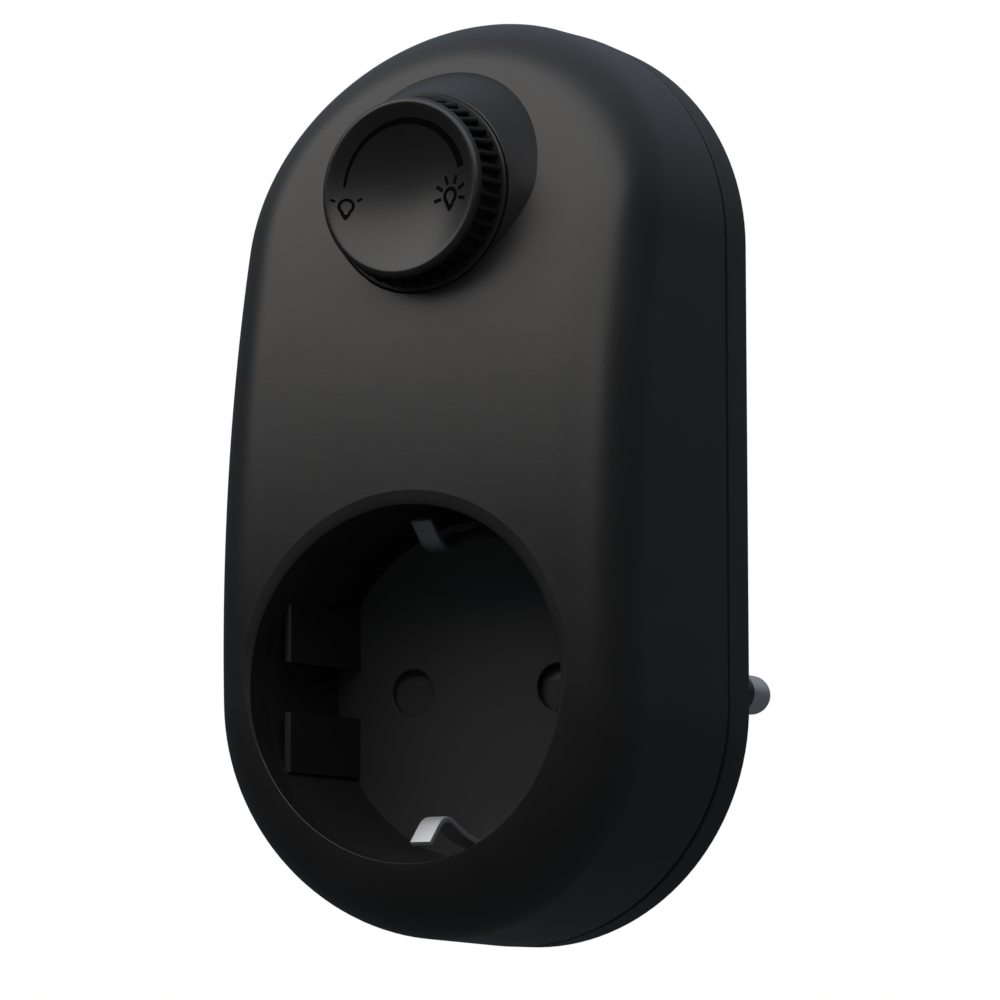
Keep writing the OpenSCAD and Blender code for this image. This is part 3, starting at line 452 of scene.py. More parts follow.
def softenEdges(work, angle, width):
    crisp = [e for e in work.edges if e.is_manifold and e.calc_face_angle() > math.radians(angle)]
    bmesh.ops.bevel(
        work, geom=crisp, offset=width * mm, segments=2, profile=0.5, affect="EDGES", clamp_overlap=True)


def closeMesh(work, mesh, angle):
    work.to_mesh(mesh)
    work.free()
    mesh.shade_smooth()
    mesh.set_sharp_from_angle(angle=math.radians(angle))


def attach(piece, body, node):
    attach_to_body(piece, body)
    if node:
        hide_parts(node)
    return piece


def makePiece(name, shape, body, slot, node=None, angle=32.0, bevel=0.0, finish=None):
    mesh = bpy.data.meshes.new(name)
    mesh.from_pydata([(x * mm, y * mm, z * mm) for x, y, z in shape["points"]], [], shape["faces"])
    work = bmesh.new()
    work.from_mesh(mesh)
    bmesh.ops.recalc_face_normals(work, faces=work.faces)
    if bevel:
        softenEdges(work, angle, bevel)
    closeMesh(work, mesh, angle)
    if shape["sharp"] and not bevel:
        for edge in mesh.edges:
            if tuple(sorted(edge.vertices)) in shape["sharp"]:
                edge.use_edge_sharp = True
    mesh.materials.append(finishes[finish or slot])
    return attach(newObject(name, mesh), body, node)


# Outline of the case and its curved front
def faceY(z):
    curve = caseForm["curve"]
    return caseForm["crestY"] + curve - math.sqrt(curve ** 2 - (z - caseForm["crestZ"]) ** 2)


def outlineStations():
    # height of the centre line and the direction outwards, clockwise from the left
    top, low = caseForm["topCentre"], caseForm["lowCentre"]
    arcs, sides = caseForm["arcSteps"], caseForm["sideSteps"]
    stations = []
    for here, there, side in ((top, low, 1.0), (low, top, -1.0)):
        for i in range(arcs + 1):
            a = math.pi * i / arcs
            stations.append((here, -side * math.cos(a), side * math.sin(a)))
        for i in range(1, sides):
            stations.append((here + (there - here) * i / sides, side, 0.0))
    return stations


stations = outlineStations()


def outlineRing(inset, depth=0.0, y=None):
    radius = caseForm["halfWidth"] - inset
    ring = []
    for centre, ox, oz in stations:
        z = centre + radius * oz
        ring.append((radius * ox, faceY(z) + depth if y is None else y, z))
    return ring


def insetAt(x, z):
    centre = min(max(z, caseForm["lowCentre"]), caseForm["topCentre"])
    return caseForm["halfWidth"] - math.hypot(x, z - centre)


def skinY(x, z, wall=0.0):
    # the front's surface, or the inner one a wall behind it
    edge = caseForm["edge"] - wall
    reach = insetAt(x, z) - caseForm["draft"] - wall
    sine = min(max(1 - reach / edge, 0.0), 1.0)
    return faceY(z) + wall + edge * (1 - math.sqrt(1 - sine * sine))


def edgeRings(turns, wall=0.0):
    edge = caseForm["edge"] - wall
    side = wall + caseForm["draft"]
    return [outlineRing(side + edge * (1 - s), wall + edge * (1 - c)) for s, c in turnSteps(turns)]


# Front housing: curved face, soft edge, rim of the outlet and the knob's collar
frontForm = {
    "boreRadius": 19.4,
    "boreGrow": 0.32,
    "boreDrop": 0.48,
    "boreFrom": (-33.2, -51.0),
    "ringRadius": 20.8,
    "ringSlope": 0.12,
    "ringSoft": 0.07,
    "ringFade": (-0.5, 0.26),
    "ringSteps": [(0.5, 0.0), (0.93, 0.0), (0.985, 0.03), (1.0, 0.12)],
    "seatY": -48.25,
    "seatWide": 2.2,
    "collarPlane": -47.4,
    "collarTop": -48.2,
    "collarRadius": 11.4,
    "collarBase": 13.2,
    "collarFlare": 0.33,
    "collarFade": (-0.9, 1.4),
    "collarSoft": 0.05,
    "collarDrop": 0.08,
    "knobBore": 5.2,
    "knobBoreSoft": 0.3,
    "knobBoreFlare": (2.0, 1.0),
    "seam": (0.38, 0.9, 0.12),
    "roundSteps": 128,
    "grid": 2.0,
    "gaps": (0.5, 0.9, 0.8),  # edge rows to a rim, grid to a rim, grid to the edge
}


def collarReach(a):
    # where the collar's flare meets the face, for a direction round the knob
    form = frontForm
    reach = form["collarBase"]
    start, end = form["collarFade"]
    low = form["collarRadius"] + form["collarSoft"]
    for _ in range(12):
        rise = faceY(knobZ + reach * math.cos(a)) - form["collarPlane"]
        share = ease((rise - start) / (end - start))
        reach = low + (form["collarBase"] + form["collarFlare"] * rise - low) * share
    return reach


def boreAt(y):
    # radius and centre height of the round wall, which opens towards the front
    form = frontForm
    low, high = form["boreFrom"]
    share = (y - low) / (high - low)
    return form["boreRadius"] + form["boreGrow"] * share, socketZ - form["boreDrop"] * share


def boreRing(y, count, grow=0.0):
    radius, centre = boreAt(y)
    return circleRing(0, centre, radius + grow, y, count)


def ringReach(a):
    # outer edge of the facet round the opening, seen from the bore's centre; it runs out below
    form = frontForm
    bore, centre = boreAt(form["boreFrom"][1])
    drop = socketZ - centre
    wide = drop * math.cos(a) + math.sqrt(form["ringRadius"] ** 2 - (drop * math.sin(a)) ** 2)
    start, end = form["ringFade"]
    least = bore + form["ringSoft"]
    return least + (wide - least) * ease((math.cos(a) - start) / (end - start))


def seamRings(side):
    # groove along the parting line from the side inwards; -1 is in front of the line, 1 behind it
    half, depth, soft = frontForm["seam"]
    steps = [(0.0, half + soft), (soft, half), (depth, 0.7 * half), (depth, 0.0), (caseForm["wall"], 0.0)]
    return [outlineRing(inset, y=caseForm["partingY"] + side * away) for inset, away in steps]


def frontHousing():
    form = frontForm
    shape = newShape()
    count = form["roundSteps"]
    angles = [2 * math.pi * i / count for i in range(count)]
    bore, boreZ = boreAt(form["boreFrom"][1])
    wall = caseForm["wall"]

    def onFace(reach, centre):
        ring = []
        for a in angles:
            x, z = reach(a) * math.sin(a), centre + reach(a) * math.cos(a)
            ring.append((x, skinY(x, z), z))
        return ring

    outer = addLoop(shape, edgeRings([40])[0])
    edge, base = onFace(ringReach, boreZ), onFace(collarReach, knobZ)
    rim, collar = (addLoop(shape, ring, sharp=True) for ring in (edge, base))

    def clear(x, z, gap):
        return all(
            math.hypot(x, z - centre) > reach(math.atan2(x, z - centre)) + gap
            for reach, centre in ((collarReach, knobZ), (ringReach, boreZ)))

    spots = []
    rowGap, gridGap, edgeGap = form["gaps"]
    for ring in edgeRings(range(35, -1, -5)):
        spots += [(x, z) for x, y, z in ring if clear(x, z, rowGap)]
    step = form["grid"]
    margin = caseForm["draft"] + caseForm["edge"] + edgeGap
    for i in range(-13, 14):
        for j in range(-16, 40):
            x, z = i * step + (0.5 * step if j % 2 else 0.0), j * step
            if insetAt(x, z) > margin and clear(x, z, gridGap):
                spots.append((x, z))
    fillFace(shape, outer, [rim, collar], skinY, spots)

    # soft edge, side, seam and the inner wall
    rings = edgeRings(range(45, 91, 5)) + seamRings(-1) + edgeRings(range(90, 59, -10), wall)
    inner = loft(shape, rings, outer)[-1]

    # facet and bore of the outlet
    def ringLoop(share, drop):
        ring = []
        for a, (x, y, z) in zip(angles, edge):
            wide = ringReach(a) - bore
            radius = bore + wide * (1.0 - share)
            depth = y + max(form["ringSlope"] * wide, form["ringSoft"]) * share + drop
            ring.append((radius * math.sin(a), depth, boreZ + radius * math.cos(a)))
        return ring

    rings = [ringLoop(*step) for step in form["ringSteps"]] + [boreRing(form["seatY"], count)]
    for y in (form["seatY"], lambda x, z: skinY(x, z, wall)):
        rings.append(circleRing(0, socketZ, bore + form["seatWide"], y, count))
    seat = loft(shape, rings, rim)[-1]

    # collar from the face to the knob's seat, then the bore
    def collarRing(share):
        ring = []
        for a, (x, y, z) in zip(angles, base):
            radius = collarReach(a) + (form["collarRadius"] - collarReach(a)) * share
            depth = y + (form["collarTop"] - y) * share
            ring.append((radius * math.sin(a), depth, knobZ + radius * math.cos(a)))
        return ring

    within, plane = form["collarRadius"] - form["collarSoft"], form["collarPlane"]
    hole, soft = form["knobBore"], form["knobBoreSoft"]
    wide, deep = form["knobBoreFlare"]
    steps = [(within, form["collarTop"] + form["collarDrop"]), (within, plane)]
    steps += [(hole + soft, plane), (hole, plane + soft), (hole, lambda x, z: faceY(z) + wall + deep)]
    steps.append((hole + wide, lambda x, z: faceY(z) + wall))
    rings = [collarRing(s) for s in (0.3, 0.6, 0.9, 0.97)]
    rings += [circleRing(0, knobZ, radius, y, count) for radius, y in steps]
    hub = loft(shape, rings, collar)[-1]
    fillFace(shape, inner, [seat, hub], lambda x, z: skinY(x, z, wall))
    return makePiece("frontHousing", shape, "case", "housing_plastic", "front_housing")


frontPiece = frontHousing()
print("front housing:", len(frontPiece.data.polygons), "faces")

# Rear cover: rim, back plate and the plug boss with its flats and grooves
rearForm = {
    "edge": 0.3,
    "floor": -22.0,
    "bossRadius": 18.25,
    "bossFlat": 16.8,
    "grooveHalf": 2.55,
    "grooveFloor": 15.75,
    "bossEdge": 0.7,
    "hollowRadius": 16.25,
    "hollowFlat": 14.8,
    "hollowHigh": 13.75,
    "hollowEnd": -4.0,
    "screwSpots": [(16.0, 60.6), (-16.0, 60.6), (0.0, -26.8)],
    "screwRadius": 2.55,
    "screwDepth": 1.6,
    "screwLip": 0.25,
    "screwSeat": 1.55,
    "softTurns": (0, 22.5, 45, 67.5, 90),
}


def bossOutline():
    # clockwise from the right corner of the upper groove
    form = rearForm
    radius, flat, half, floor = (form[k] for k in ("bossRadius", "bossFlat", "grooveHalf", "grooveFloor"))
    start = math.asin(half / radius)
    end = math.asin(flat / radius)
    quarter = []
    for i in range(19):
        a = start + (end - start) * i / 18
        quarter.append((radius * math.sin(a), radius * math.cos(a)))
    right = quarter + [(flat, quarter[-1][1] * s) for s in (0.5, 0.0, -0.5)]
    right += [(x, -z) for x, z in reversed(quarter)]
    right += [(half, -floor), (0.0, -floor), (-half, -floor)]
    return right + [(-x, -z) for x, z in right]


def hollowOutline():
    radius, wide, high = (rearForm[k] for k in ("hollowRadius", "hollowFlat", "hollowHigh"))
    corners = []
    for x, y, z in circleRing(0.0, 0.0, radius, 0.0, 96):
        corners.append((min(max(x, -wide), wide), min(max(z, -high), high)))
    return corners


def rearCover():
    form = rearForm
    shape = newShape()
    rearY, wall, edge, soft = caseForm["rearY"], caseForm["wall"], form["edge"], form["bossEdge"]
    turns = turnSteps(form["softTurns"])
    rings = seamRings(1)[::-1]
    rings += [outlineRing(edge * (1 - c), y=rearY - edge * (1 - s)) for s, c in turns]
    loops = loft(shape, rings)
    boss = bossOutline()
    root = addLoop(shape, atDepth(boss, rearY), sharp=True)
    holes = []
    radius, lip = form["screwRadius"], form["screwLip"]
    steps = [(radius + lip, rearY), (radius, rearY - lip), (radius, rearY - form["screwDepth"])]
    for x, z in form["screwSpots"]:
        made = loft(shape, [circleRing(x, z, r, y, 40) for r, y in steps])
        holes.append(made[0])
        fillFace(shape, made[-1])
    fillFace(shape, loops[-1], [root] + holes)
    rings = [atDepth(insetLoop(boss, soft * (1 - c)), -soft * (1 - s)) for s, c in turns]
    fillFace(shape, loft(shape, rings, root)[-1])
    # inside of the rim and of the boss
    inner = loft(shape, [outlineRing(wall, y=form["floor"])], loops[0])[-1]
    mouth, end = loft(shape, [atDepth(hollowOutline(), form[k]) for k in ("floor", "hollowEnd")])
    fillFace(shape, inner, [mouth])
    fillFace(shape, end)
    return makePiece("rearCover", shape, "case", "cover_plastic", "rear_cover")


rearPiece = rearCover()
print("rear cover:", len(rearPiece.data.polygons), "faces")

# Socket insert: round wall, four guide pads, floor with pin holes and clip slots
insertForm = {
    "outer": 21.0,
    "frontY": -48.2,
    "padY": -47.7,
    "floorY": -33.2,
    "backY": -32.5,
    "padX": 17.0,
    "padFloorX": 16.4,
    "padChamfer": 0.25,
    "padWall": 0.6,
    "padEnd": 9.6,
    "padHollow": 8.0,
    "grooveHalf": 2.8,
    "holeX": 9.5,
    "holeRadius": 2.7,
    "slotZ": 18.0,
    "slotHalf": (1.5, 0.55),
    "padRoot": 0.25,
    "padLap": (0.1, 0.05),
    "frontLip": 0.12,
    "lip": 0.1,
    "roundSteps": 128,
}


def addPad(shape, flipX, flipZ):
    # thin plate in front, solid against the round wall behind it
    form = insertForm
    low, top, padX = form["grooveHalf"], form["padEnd"], form["padX"]

    def wallPoint(y, z=None, x=None):
        radius, centre = boreAt(y)
        radius += form["padRoot"]
        centre = (centre - socketZ) * flipZ
        if z is None:
            return (x, centre + math.sqrt(radius ** 2 - x ** 2))
        return (math.sqrt(radius ** 2 - (z - centre) ** 2), z)

    def place(corners, y):
        return [(flipX * x, y, socketZ + flipZ * z) for x, z in corners]

    def block(y, x):
        arc = [wallPoint(y, z=low + (top - low) * i / 10) for i in range(11)]
        return place([(x, low)] + arc + [(x, top)], y)

    def plate(y, x, far):
        return place([(x, low), (far, low), wallPoint(y, x=far), wallPoint(y, z=top), (x, top)], y)

    hollowY = form["padY"] + form["padHollow"]
    share = form["padHollow"] / (form["floorY"] - form["padY"])
    midX = padX + (form["padFloorX"] - padX) * share
    far = padX + form["padWall"]
    soft = form["padChamfer"]
    rings = [plate(form["padY"], padX + soft, far), plate(form["padY"] + soft, padX, far)]
    plateLap, floorLap = form["padLap"]
    rings.append(plate(hollowY + plateLap, midX, far))
    blocks = [block(hollowY, midX), block(form["floorY"] + floorLap, form["padFloorX"])]
    for made in (rings, blocks):
        loops = loft(shape, made)
        shape["faces"] += [tuple(loops[0]), tuple(loops[-1])]


def socketInsert():
    form = insertForm
    shape = newShape()
    count, lip, radius = form["roundSteps"], form["lip"], form["holeRadius"]
    front, floor, back = form["frontY"], form["floorY"], form["backY"]
    rings = [circleRing(0, socketZ, form["outer"], y, count) for y in (back, front)]
    rings.append(boreRing(front, count, form["frontLip"]))
    rings += [boreRing(y, count) for y in (form["padY"], floor)]
    loops = loft(shape, rings)
    for flipX in (-1, 1):
        for flipZ in (-1, 1):
            addPad(shape, flipX, flipZ)
    fronts, backs = [], []
    w, h = form["slotHalf"]
    for side in (-1, 1):
        steps = [(radius + lip, floor), (radius, floor + lip), (radius, back)]
        hole = [circleRing(side * form["holeX"], socketZ, r, y, 48) for r, y in steps]
        z = socketZ + side * form["slotZ"]
        slot = [atDepth(boxCorners(w, z - h, z + h), y) for y in (floor, back)]
        for rings in (hole, slot):
            made = loft(shape, rings)
            fronts.append(made[0])
            backs.append(made[-1])
    fillFace(shape, loops[-1], fronts)
    fillFace(shape, loops[0], backs)
    return makePiece("socketInsert", shape, "case", "insert_plastic", "socket_insert")


insertPiece = socketInsert()
print("socket insert:", len(insertPiece.data.polygons), "faces")

# Earth clips: bent spring strip, both ends in the slots, joined by the strap behind
clipForm = {
    "path": [(-47.5, 18.0), (-44.2, 14.6), (-39.2, 17.0), (-33.8, 18.0), (-25.4, 18.0)],
    "bend": 2.4,
    "thick": 0.7,
    "half": 1.3,
    "strapHalf": 3.0,
    "strapY": (-25.8, -25.0),
    "soften": 0.14,
}


def earthClips():
    form = clipForm
    shape = newShape()
    path = roundedPath(form["path"], form["bend"])
    corners = bandOutline(path, [form["thick"]] * len(path))
    for flip in (1, -1):
        near, far = (
            addLoop(shape, [(x, p.x, socketZ + flip * p.y) for p in corners])
            for x in (-form["half"], form["half"]))
        closeBand(shape, near, far)
    reach = form["path"][-1][1] + form["thick"] / 2
    strap = boxCorners(form["strapHalf"], socketZ - reach, socketZ + reach)
    ends = loft(shape, [atDepth(strap, y) for y in form["strapY"]])
    shape["faces"] += [tuple(ends[0]), tuple(ends[1])]
    makePiece("earthClips", shape, "case", "earth_steel", "earth_bracket", bevel=form["soften"])


earthClips()

# Plug pins, turned, with a rounded end
pinForm = {
    "x": 9.5, "radius": 2.4, "length": 19.0, "stub": (1.2, -8.3), "head": (3.4, -5.6), "face": 4.0,
    "neck": 0.4, "edge": 0.1,
}


def plugPin(name, side, node):
    form = pinForm
    r, end, edge = form["radius"], form["length"], form["edge"]
    stub, head = form["stub"], form["head"]
    neck = r - form["neck"]
    profile = [(0, stub[1]), (stub[0], stub[1]), (stub[0], head[1]), (head[0], head[1])]
    profile += [(head[0], -form["face"]), (neck, -form["face"]), (neck, 0.0), (r - edge, 0.0), (r, edge)]
    profile += [(r * c, end - r + r * s) for s, c in turnSteps(range(0, 90, 9))]
    profile.append((0, end))
    shape = newShape()
    lathe(shape, profile, side * form["x"], 0.0, 48)
    makePiece(name, shape, "case", "plated_brass", node, finish="coated_pin")


plugPin("linePin", 1, "line_pin")
plugPin("neutralPin", -1, "neutral_pin")


# Earth strips on the boss: the solids with their edges softened
def softCopy(name, node, body, slot, width):
    mesh = frame["nodes"][node].data.copy()
    work = bmesh.new()
    work.from_mesh(mesh)
    bmesh.ops.remove_doubles(work, verts=work.verts, dist=1e-6)
    bmesh.ops.dissolve_limit(work, angle_limit=math.radians(1), verts=work.verts, edges=work.edges)
    softenEdges(work, 30, width)
    closeMesh(work, mesh, 32)
    mesh.materials.clear()
    mesh.materials.append(finishes[slot])
    attach(newObject(name, mesh), body, node)


softCopy("upperEarthStrip", "upper_earth_strip", "case", "earth_steel", 0.15)
softCopy("lowerEarthStrip", "lower_earth_strip", "case", "earth_steel", 0.15)
print("metal pieces made")


# Geometry Nodes: ribs round the knob, and the housing screws
def newTree(name, floats, **others):
    sockets = {"Geometry": "Geometry", **dict.fromkeys(floats, "Float"), **others, "Material": "Material"}
    return newGroup(name, "GeometryNodeTree", sockets, {"Geometry": "Geometry"})


def finishTree(tree, start, end, instances):
    solid = addNode(tree, "GeometryNodeRealizeInstances")
    cover = addNode(tree, "GeometryNodeSetMaterial")
    wire(
        tree,
        (instances, "Instances", solid, "Geometry"), (solid, "Geometry", cover, "Geometry"),
        (start, "Material", cover, "Material"), (cover, "Geometry", end, "Geometry"),
    )
    return tree


def ribTree():
    # rods leaning outwards on a circle in the XZ plane
    floats = ("Circle Radius", "Rib Radius", "Rib Length", "Spread")
    tree, start, end = newTree("knobRibs", floats, Count="Int", Centre="Vector")
    rod = addNode(tree, "GeometryNodeMeshCylinder", Vertices=12)
    lean = addNode(tree, "ShaderNodeMath", operation="SUBTRACT")
    lean.inputs[1].default_value = math.pi / 2
    slant, lift, turn = (addNode(tree, "ShaderNodeCombineXYZ") for _ in range(3))
    place = addNode(tree, "GeometryNodeTransform")
    line = addNode(tree, "GeometryNodeMeshLine", Offset=(0.0, 0.0, 0.0))
    number = addNode(tree, "GeometryNodeInputIndex")
    step = addNode(tree, "ShaderNodeMath", operation="DIVIDE")
    step.inputs[0].default_value = 2 * math.pi
    angle = addNode(tree, "ShaderNodeMath", operation="MULTIPLY")
    spread = addNode(tree, "GeometryNodeInstanceOnPoints")
    wire(
        tree,
        (start, "Rib Radius", rod, "Radius"), (start, "Rib Length", rod, "Depth"),
        (start, "Spread", lean, 0), (lean, 0, slant, "X"), (start, "Circle Radius", lift, "Z"),
        (rod, "Mesh", place, "Geometry"), (slant, "Vector", place, "Rotation"),
        (lift, "Vector", place, "Translation"),
        (start, "Count", line, "Count"), (start, "Centre", line, "Start Location"),
        (start, "Count", step, 1), (number, "Index", angle, 0), (step, 0, angle, 1), (angle, 0, turn, "Y"),
        (line, "Mesh", spread, "Points"), (place, "Geometry", spread, "Instance"),
        (turn, "Vector", spread, "Rotation"),
    )
    return finishTree(tree, start, end, spread)


def screwTree():
    # cross-headed screws on the points of the mesh, heads towards +Y
    floats = ("Head Radius", "Head Height", "Shank Radius", "Shank Length")
    tree, start, end = newTree("housingScrews", floats, Cross="Vector")
    head = addNode(tree, "GeometryNodeMeshCone", Vertices=40)
    taper, half = (addNode(tree, "ShaderNodeMath", operation="MULTIPLY") for _ in range(2))
    taper.inputs[1].default_value = 0.9
    half.inputs[1].default_value = -0.5
    cut = addNode(tree, "GeometryNodeMeshBoolean", operation="DIFFERENCE")
    rise, drop = (addNode(tree, "ShaderNodeCombineXYZ") for _ in range(2))
    wire(
        tree,
        (start, "Head Radius", taper, 0), (taper, 0, head, "Radius Top"),
        (start, "Head Radius", head, "Radius Bottom"), (start, "Head Height", head, "Depth"),
        (start, "Head Height", rise, "Z"), (head, "Mesh", cut, "Mesh 1"),
    )
    crossTurn = 0.35
    for turn in (crossTurn, crossTurn + math.pi / 2):
        bar = addNode(tree, "GeometryNodeMeshCube")
        lay = addNode(tree, "GeometryNodeTransform", Rotation=(0.0, 0.0, turn))
        wire(
            tree,
            (start, "Cross", bar, "Size"), (bar, "Mesh", lay, "Geometry"),
            (rise, "Vector", lay, "Translation"), (lay, "Geometry", cut, "Mesh 2"),
        )
    shank = addNode(tree, "GeometryNodeMeshCylinder", Vertices=20)
    lower = addNode(tree, "GeometryNodeTransform")
    whole = addNode(tree, "GeometryNodeJoinGeometry")
    face = addNode(tree, "GeometryNodeTransform", Rotation=(-math.pi / 2, 0.0, 0.0))
    spread = addNode(tree, "GeometryNodeInstanceOnPoints")
    wire(
        tree,
        (start, "Shank Radius", shank, "Radius"), (start, "Shank Length", shank, "Depth"),
        (start, "Shank Length", half, 0), (half, 0, drop, "Z"),
        (shank, "Mesh", lower, "Geometry"), (drop, "Vector", lower, "Translation"),
        (cut, "Mesh", whole, "Geometry"), (lower, "Geometry", whole, "Geometry"),
        (whole, "Geometry", face, "Geometry"),
        (start, "Geometry", spread, "Points"), (face, "Geometry", spread, "Instance"),
    )
    return finishTree(tree, start, end, spread)


def bakeTree(name, tree, values, spots, body, node=None):
    mesh = bpy.data.meshes.new(name)
    mesh.from_pydata(spots, [], [])
    piece = newObject(name, mesh)
    grow = piece.modifiers.new(name, "NODES")
    grow.node_group = tree
    for item in tree.interface.items_tree:
        if item.in_out == "INPUT" and item.name in values:
            grow[item.identifier] = values[item.name]
    graph = bpy.context.evaluated_depsgraph_get()
    made = bpy.data.meshes.new_from_object(piece.evaluated_get(graph))
    piece.modifiers.clear()
    piece.data = made
    made.name = name
    made.shade_smooth()
    made.set_sharp_from_angle(angle=math.radians(40))
    return attach(piece, body, node)


screwForm = {
    "Head Radius": 2.5 * mm,
    "Head Height": 1.5 * mm,
    "Shank Radius": 1.4 * mm,
    "Shank Length": 12.5 * mm,
    "Cross": (3.0 * mm, 0.6 * mm, 1.5 * mm),
    "Material": finishes["screw_steel"],
}
screwY = caseForm["rearY"] - rearForm["screwSeat"]  # the head sits just above its hole's floor
screwSpots = [(x * mm, screwY * mm, z * mm) for x, z in rearForm["screwSpots"]]
screws = bakeTree(
    "housingScrews", screwTree(), screwForm, screwSpots, "case", "housing_screws")
print("housing screws:", len(screws.data.polygons), "faces")

# Knob: dished face, soft rim, ribbed side, lip and hub
knobForm = {
    "frontY": -52.7,
    "backY": -47.8,
    "lipY": -48.6,
    "lipRadius": 11.25,
    "radius": 10.2,
    "baseRadius": (9.45, 9.9),
    "round": 0.7,
    "dishRadius": 9.4,
    "dishDepth": 2.3,
    "hubRadius": 4.7,
    "hubEnd": -41.8,
    "shaft": (3.02, -49.55),
    "lipSoft": (0.18, 0.12),
    "dishStep": 0.35,
    "dishEdge": (0.02, 0.03, 0.05),
    "rimSteps": (0.1, 0.35),
    "steps": 192,
}


def dishY(radius):
    form = knobForm
    bowl = (form["dishRadius"] ** 2 + form["dishDepth"] ** 2) / (2 * form["dishDepth"])
    return form["frontY"] + form["dishDepth"] - bowl + math.sqrt(bowl ** 2 - radius ** 2)


def knobBody():
    form = knobForm
    shape = newShape()
    front, r, soft = form["frontY"], form["radius"], form["round"]
    step = form["dishStep"]
    profile = [(step * i, dishY(step * i)) for i in range(27)]
    out, down, flat = form["dishEdge"]
    profile += [(form["dishRadius"] + out, front + down), (r - soft + flat, front)]
    profile += [(r - soft + soft * s, front + soft * (1 - c)) for s, c in turnSteps(range(15, 91, 15))]
    near, far = form["baseRadius"]
    lip, lipY, back = form["lipRadius"], form["lipY"], form["backY"]
    rimEnd, gripStart = (front + soft + step for step in form["rimSteps"])
    profile += [(r, rimEnd), (near, gripStart), (far, lipY)]
    ahead, behind = form["lipSoft"]
    profile += [(lip - ahead, lipY), (lip, lipY + ahead), (lip, back - behind), (lip - behind, back)]
    hub, hubEnd, (shaft, shaftEnd) = form["hubRadius"], form["hubEnd"], form["shaft"]
    profile += [(hub, back), (hub, hubEnd), (shaft, hubEnd), (shaft, shaftEnd), (0.0, shaftEnd)]
    lathe(shape, profile, 0.0, knobZ, form["steps"])
    return makePiece("knobBody", shape, "dial", "knob_plastic", "knob", angle=42.0)


knobPiece = knobBody()
ribForm = {
    "Count": 40,
    "Circle Radius": 10.1 * mm,
    "Rib Radius": 0.42 * mm,
    "Rib Length": 3.45 * mm,
    "Spread": 0.2,
    "Centre": (0.0, -50.28 * mm, knobZ * mm),
    # the ribs take the knob plastic with painted shade
    "Material": finishes["knob_grip_painted_shade"],
}
ribs = bakeTree("knobRibs", ribTree(), ribForm, [(0.0, 0.0, 0.0)], "dial")
print("knob:", len(knobPiece.data.polygons), "faces, ribs:", len(ribs.data.polygons))

# Print on the dish: small lamp for low, bright lamp for high, and an arc that widens between them
signForm = {
    "low": {
        "at": (-7.35, -1.4), "bulb": 0.76, "stroke": 0.34,
        "rays": [-64, 64], "ray": (1.3, 1.9), "rayWidth": 0.3,
    },
    "high": {
        "at": (5.75, -1.35), "bulb": 0.82, "stroke": 0.46,
        "rays": [-100, -58, -18, 24, 64, 104], "ray": (1.35, 2.4), "rayWidth": 0.42,
    },
    "bowlTurn": 148,
    "neck": 0.42,
    "foot": 1.45,
    "bars": [(1.1, 1.5, 1.3), (0.6, 1.78, 1.2)],
    "arcRadius": 7.6,
    "arcTurn": (-84.0, 77.0),
    "arcHalf": (0.14, 0.52),
    "arcSwell": 1.2,
    "raise": 0.02,
    "sink": 0.05,
}


def addStroke(shape, path, widths):
    # flat band on the dish along a line of (x, z) points
    corners = bandOutline(path, widths if isinstance(widths, list) else [widths] * len(path))
    top, low = (
        addLoop(shape, [(p.x, dishY(p.length) + drop, p.y + knobZ) for p in corners])
        for drop in (-signForm["raise"], signForm["sink"]))
    closeBand(shape, top, low)


def lampSign(shape, sign):
    cx, cz = sign["at"]
    r, w = sign["bulb"], sign["stroke"]
    widest = signForm["bowlTurn"]
    bowl = []
    for s, c in turnSteps(-widest + 2 * widest * i / 20 for i in range(21)):
        bowl.append((cx + r * s, cz + r * c))
    neck, foot = r * signForm["neck"], cz - signForm["foot"] * r
    bowl = [(cx - neck, foot)] + bowl + [(cx + neck, foot)]
    addStroke(shape, bowl, w)
    for wide, down, thick in signForm["bars"]:
        z = cz - down * r
        addStroke(shape, [(cx - neck * wide, z), (cx + neck * wide, z)], w * thick)
    near, far = sign["ray"]
    for s, c in turnSteps(sign["rays"]):
        line = [(cx + d * s, cz + d * c) for d in (near, (near + far) / 2, far)]
        addStroke(shape, line, sign["rayWidth"])


def dialArc(shape):
    form = signForm
    (first, last), (low, high) = form["arcTurn"], form["arcHalf"]
    shares = [i / 90 for i in range(91)]
    turns = turnSteps(first + (last - first) * share for share in shares)
    path = [(form["arcRadius"] * s, form["arcRadius"] * c) for s, c in turns]
    addStroke(shape, path, [2 * (low + (high - low) * share ** form["arcSwell"]) for share in shares])


def knobSigns():
    shape = newShape()
    lampSign(shape, signForm["low"])
    lampSign(shape, signForm["high"])
    dialArc(shape)
    return makePiece("knobSigns", shape, "dial", "knob_plastic", angle=30.0, finish="knob_print")


signs = knobSigns()
print("signs:", len(signs.data.polygons), "faces")

# Camera, fitted to the photograph
cameraForm = {
    "lens": 148.81, "sensor": 36.0, "turn": 0.5090, "tilt": -0.1249, "at": (0.22966, -0.44119, -0.03948),
}


def addCamera():
    form = cameraForm
    turn, tilt = form["turn"], form["tilt"]
    right = Vector((math.cos(turn), math.sin(turn), 0.0))
    back = Vector((math.sin(turn) * math.cos(tilt), -math.cos(turn) * math.cos(tilt), math.sin(tilt)))
    up = back.cross(right)
    data = bpy.data.cameras.new("photoCamera")
    data.lens = form["lens"]
    data.sensor_width = form["sensor"]
    data.clip_start = 0.01
    camera = newObject("photoCamera", data)
    place = Matrix((right, up, back)).transposed().to_4x4()
    place.translation = Vector(form["at"])
    camera.matrix_world = place
    scene.camera = camera


addCamera()

